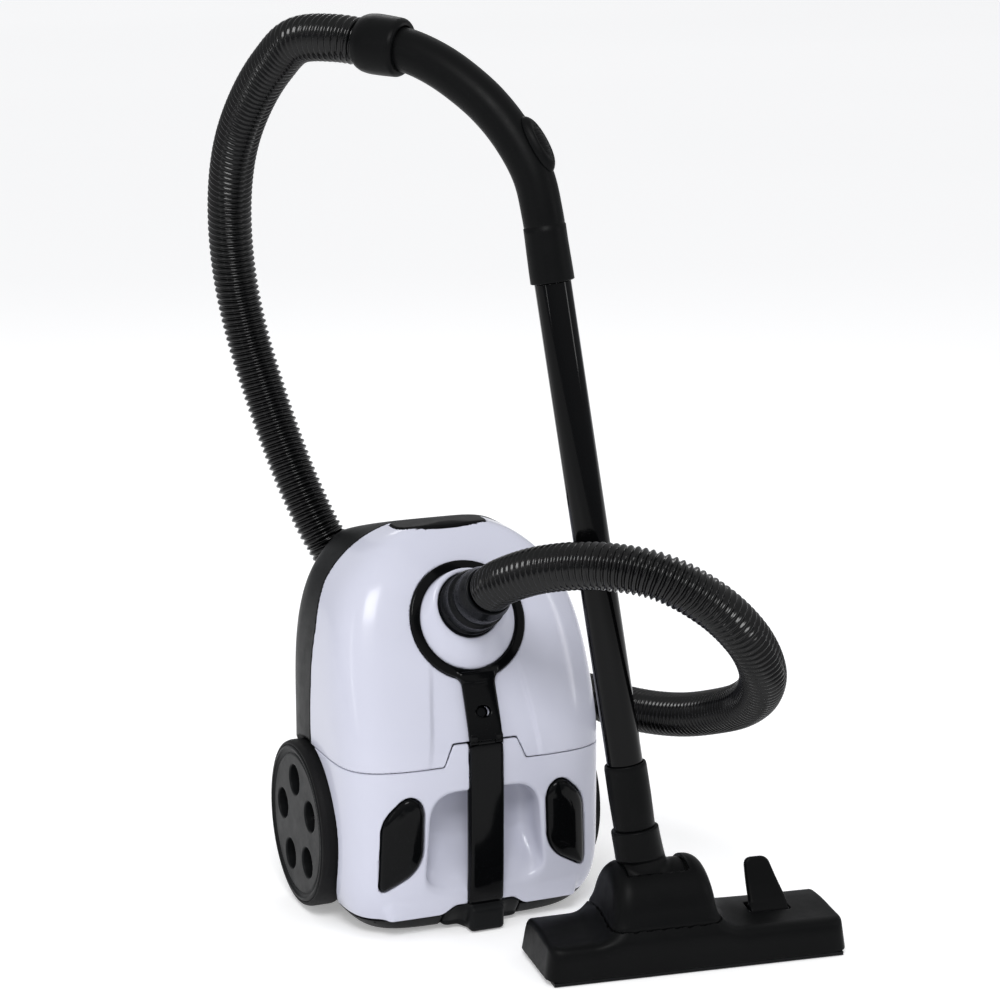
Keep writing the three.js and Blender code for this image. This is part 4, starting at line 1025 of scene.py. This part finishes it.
def build_slider():
    at = handle_point(29, 109)
    up = unit(handle_point(39, 124) - handle_point(19, 91))
    out = unit((HANDLE_WAY @ up) * up - HANDLE_WAY)
    side = np.cross(up, out)

    def field(x, y, z):
        dx, dy, dz = x - at[0], y - at[1], z - at[2]
        u = dx * up[0] + dy * up[1] + dz * up[2]
        v = dx * side[0] + dy * side[1] + dz * side[2]
        w = dx * out[0] + dy * out[1] + dz * out[2]
        oval = (np.sqrt((u / 27.0) ** 2 + (v / 12.5) ** 2 + 1e-6) - 1) * 12.5
        crown = 25.6 - 0.0075 * u * u - 0.03 * v * v
        d = smax(smax(oval, w - crown, 5.0), 15.5 - w, 1.0)
        dish = np.sqrt((u / 2.1) ** 2 + v ** 2 + 1e-6) - 8.5
        d = smax(d, -smax(dish, crown - 1.4 - w, 2.0), 2.0)
        grips = smax(np.abs(np.mod(u, 4.0) - 2.0) - 0.6, smax(crown - 2.1 - w, dish + 1.0, 0.5), 0.5)
        return smax(smax(d, -grips, 0.5), -(np.sqrt((w + 0.0038 * u * u) ** 2 + v * v) - 18.3), 0.5)

    sculpted("bleed_slider_knob", field, at - 34, at + 34, 0.9, MATTE, "bleed_slider", "suction_slider",
             slot="dark_plastic")


# ---- floor head ----
HEAD_CENTRE = np.array([141.5, -216.0])
HEAD_TURN = math.radians(-6.9)
HEAD_HALF = 141.0
HEAD_WALL = 3.0
SOLE_Z = 4
HOOD_U = -31.0
HOOD_SLOT = 28.6  # half the width of the slot that the elbow sits in
PIVOT_V, PIVOT_Z = 6.0, 60.0
NECK_END, NECK_BOTTOM = -58.4, -86  # heights along the wand
ROCKER_U, ROCKER_V, ROCKER_Z = 79.0, 2, 32
ROCKER_SLANT = math.radians(25)
ROLLER_U, ROLLER_V = 104, 34


def in_head(x, y):
    """The head's own coordinates: u along it to the right, v from front to back."""
    dx, dy = x - HEAD_CENTRE[0], y - HEAD_CENTRE[1]
    c, s = math.cos(HEAD_TURN), math.sin(HEAD_TURN)
    return dx * c + dy * s, -dx * s + dy * c


def head_point(u, v, z):
    c, s = math.cos(HEAD_TURN), math.sin(HEAD_TURN)
    return np.array([HEAD_CENTRE[0] + u * c - v * s, HEAD_CENTRE[1] + u * s + v * c, z])


def head_body(u, v, z):
    """The long body of the head: upright front, gently crowned top, rounded front corners."""
    side = np.abs(u) - (HEAD_HALF - 0.13 * z)
    front = (-45 + 0.07 * z) - v
    back = v - 45 + 0.12 * z
    near_hood = np.exp(-((u - HOOD_U) / 78) ** 2 - ((v - 12) / 26) ** 2)
    top = z - (33.8 + 2.5 * np.exp(-((v - 15) / 28) ** 2) + 5.5 * near_hood)
    along = smax(smax(front, top, 13.0), back, 9.0)
    d = smax(along, smax(side, front, 17.0), 4.5)
    return smax(d, SOLE_Z - z, 1.5)


def hood_shape(u, v, z):
    """The rounded hump over the elbow's pivot."""
    du = u - HOOD_U - 3.5
    across = np.hypot((v - 6) / 41.0, (z - 46) / 45.5)
    dome = (np.maximum(across, 0.05) - 1) * 42
    end = np.abs(du) - (49.5 - 0.12 * np.maximum(z - 36, 0))
    return smax(dome, end, 16.0)


def head_form(u, v, z):
    """The head with the hood growing softly out of it."""
    return smin(head_body(u, v, z), hood_shape(u, v, z), 22.0)


def hollow_head(u, v, z):
    inner = head_form(u, v, np.maximum(z, 12.0)) + HEAD_WALL
    return smax(head_form(u, v, z), -inner, 1.0)


def head_shell(x, y, z):
    u, v = in_head(x, y)
    d = smax(hollow_head(u, v, z), 2.9 - hood_shape(u, v, z), 0.8)
    opening = smax(np.abs(u - HOOD_U) - 29, np.maximum(-30 - v, 10 - z), 1.0)
    rocker_hole = smax(smax(np.abs(u - ROCKER_U) - 19.5, np.abs(v - 3.5) - 10, 3.0), 20 - z, 1.0)
    pocket = np.maximum(np.abs(np.abs(u) - ROLLER_U) - 9, np.maximum(np.abs(v - ROLLER_V) - 12, z - 20))
    for tool, edge in ((opening, 1.0), (rocker_hole, 1.4), (pocket, 0.8)):
        d = smax(d, -tool, edge)
    return smax(d, SOLE_Z - z, 0.8)


def hood(x, y, z):
    u, v = in_head(x, y)
    d = smax(hollow_head(u, v, z), hood_shape(u, v, z) - 2.5, 0.8)
    d = smax(d, 22 - z, 1.0)
    past_slot = np.abs(u - HOOD_U) - HOOD_SLOT
    room = np.hypot(v - PIVOT_V, z - PIVOT_Z) - 30.3
    slot = smax(past_slot, smin(room, np.maximum(-14 - v, PIVOT_Z - z), 3.0), 2.0)
    d = smax(d, -slot, 1.4)
    return smax(d, -smax(past_slot, np.maximum(-24 - v, z - PIVOT_Z), 2.0), 1.2)


ELBOW_AT = head_point(HOOD_U, PIVOT_V, PIVOT_Z)


def capsule(x, y, z, a, b, ra, rb):
    """A round bar from a to b, its radius changing from ra to rb."""
    ab = b - a
    size = ab @ ab
    t = ((x - a[0]) * ab[0] + (y - a[1]) * ab[1] + (z - a[2]) * ab[2]) / size
    s = np.clip(t, 0, 1)
    r = np.sqrt((x - a[0] - s * ab[0]) ** 2 + (y - a[1] - s * ab[1]) ** 2 + (z - a[2] - s * ab[2]) ** 2)
    return r - (ra + (rb - ra) * s)


def elbow(x, y, z):
    """The drum in the hood, with a hollow neck that turns on the wand's socket."""
    u, v = in_head(x, y)
    drum = smax(np.hypot(v - PIVOT_V, z - PIVOT_Z) - 29.4, np.abs(u - HOOD_U) - 27.6, 3.0)
    top = on_wand(-62)
    stem = capsule(x, y, z, ELBOW_AT, top, 21.0, 20.0)
    out = (x - TUBE_LOW[0]) * WAND_UP[0] + (y - TUBE_LOW[1]) * WAND_UP[1] + (z - TUBE_LOW[2]) * WAND_UP[2]
    px, py, pz = (c - TUBE_LOW[i] - out * WAND_UP[i] for i, c in enumerate((x, y, z)))
    from_axis = np.sqrt(px * px + py * py + pz * pz)
    neck = smax(from_axis - 20.9, np.maximum(out - NECK_END, NECK_BOTTOM - out), 2.5)
    d = smin(smin(drum, stem, 6.0), neck, 3.0)
    d = smax(d, out - NECK_END, 1.4)
    bore = np.maximum(from_axis - 13, -78 - out)
    return smax(d, -bore, 0.8)


def rocker(x, y, z):
    """The foot rocker: a bowed, leaning blade on a short drum."""
    u, v = in_head(x, y)
    du, dv, dz = u - ROCKER_U, v - ROCKER_V, z - ROCKER_Z
    c, s = math.cos(ROCKER_SLANT), math.sin(ROCKER_SLANT)
    up, across = dz * c + dv * s, dv * c - dz * s
    slant = (du - 18.6 + 0.35 * np.maximum(up - 12, 0)) * 0.94
    face = smax(smax(smax(-du - 16.5, slant, 6.0), up - 49.5, 7.0), -up, 1.0)
    bow = across + 0.0035 * (up - 22) ** 2 - 1.5
    blade = smax(face, np.abs(bow) - 3.6, 3.6)
    from_pin = np.hypot(dv, dz)
    drum = smax(from_pin - 6, np.abs(du) - 17, 1.5)
    return smax(smin(blade, drum, 5.0), 2.3 - from_pin, 0.4)


def build_head():
    sculpted("head_body", head_shell, (-7, -285, 3), (290, -143, 58), 1.5, MATTE, "floor_head", "head_shell",
             slot="dark_plastic")
    sculpted("hood", hood, (40, -276, 20), (188, -140, 96), 1.2, MATTE, "floor_head", "head_hood",
             slot="dark_plastic")
    sculpted("elbow_joint", elbow, (72, -240, 34), (146, -172, 128), 1.2, MATTE, "neck", "elbow",
             slot="grey_plastic")
    sculpted("rocker_blade", rocker, (198, -236, 22), (242, -190, 92), 1.0, MATTE, "rocker", "foot_rocker",
             slot="dark_plastic")


# ---- brushes ----
TUFT_SIDES = 7
TUFT_RINGS = [  # height, radius, and the share of the tuft's lean
    (10.2, 0.8, 0.0), (7.6, 0.85, 0.3), (5.6, 1.05, 0.8), (4.8, 0.95, 1.0), (4.7, 0.05, 1.0),
]
TUFT_PITCH = 2.6
TUFT_ROW = 1.35


def tuft(u, v, lean):
    """One tuft's points, ring by ring."""
    around = np.arange(TUFT_SIDES) / TUFT_SIDES * 2 * np.pi
    return [head_point(u + lean[0] * bent + r * math.cos(a), v + lean[1] * bent + r * math.sin(a), z)
            for z, r, bent in TUFT_RINGS for a in around]


def bristles(name, v, mount):
    """A brush strip: a stiff back with two rows of tufts."""
    ends = np.linspace(head_point(-115, v, 10.8), head_point(115, v, 10.8), 60)
    turn = np.arange(24) / 24 * 2 * np.pi
    section = ((np.abs(np.cos(turn)) / 2.9) ** 6 + (np.abs(np.sin(turn)) / 1.2) ** 6) ** (-1 / 6)
    back = swept(f"{name}_bristle_back", ends, np.tile(section, (len(ends), 1)), RUBBER, 24)
    show(back, mount, f"brush_{name}", slot="black_rubber")
    chance = np.random.default_rng(7)
    points, faces = [], []
    for row in (-TUFT_ROW, TUFT_ROW):
        for u in np.arange(-112, 112.1, TUFT_PITCH):
            faces.append(tube_faces(len(TUFT_RINGS), TUFT_SIDES) + len(points) * len(TUFT_RINGS) * TUFT_SIDES)
            points.append(tuft(u, v + row, chance.normal(0, 0.3, 2)))
    points = np.array(points).reshape(-1, 3)
    show(make_object(f"{name}_bristle_tufts", points, np.vstack(faces), BRISTLE), mount)


def build_brushes():
    bristles("front", -28, "front_bristles")
    bristles("rear", 24, "rear_bristles")


# ---- dust bag ----
BAG_HALF = (82, 38, 72)
BAG_Y, BAG_Z = 34, 250
BAG_POWER = 2.6


def dust_bag(x, y, z):
    """A full bag, with gathered folds round its middle and a crease near each end."""
    p = sum(np.abs(c / half) ** BAG_POWER for c, half in zip((x, y - BAG_Y, z - BAG_Z), BAG_HALF))
    d = (np.maximum(p, 1e-4) ** (1 / BAG_POWER) - 1) * 42
    fold = 1.1 * np.cos(x / 6.5 + 0.02 * z) * smoothstep((60 - np.abs(z - BAG_Z)) / 50)
    crease = 1.6 * np.exp(-((np.abs(x) - 58) / 5) ** 2)
    return d + fold * 0.5 + crease


def build_bag():
    bag = sculpted("paper_bag", dust_bag, (-85, -7, 175), (85, 75, 325), 2.4, FLEECE, "canister", "dust_bag",
                   slot="bag_fleece")


def finish_cad_nodes():
    for name, material in CAD_FINISH.items():
        for slot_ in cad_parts[name].material_slots:
            slot_.material = material


bpy.context.scene.view_settings.view_transform = "Standard"
add_camera()
add_stage()
build_hose()
build_cuff()
build_casing()
build_wheels()
build_tube()
build_handle()
build_socket()
build_slider()
build_head()
build_brushes()
build_bag()
finish_cad_nodes()
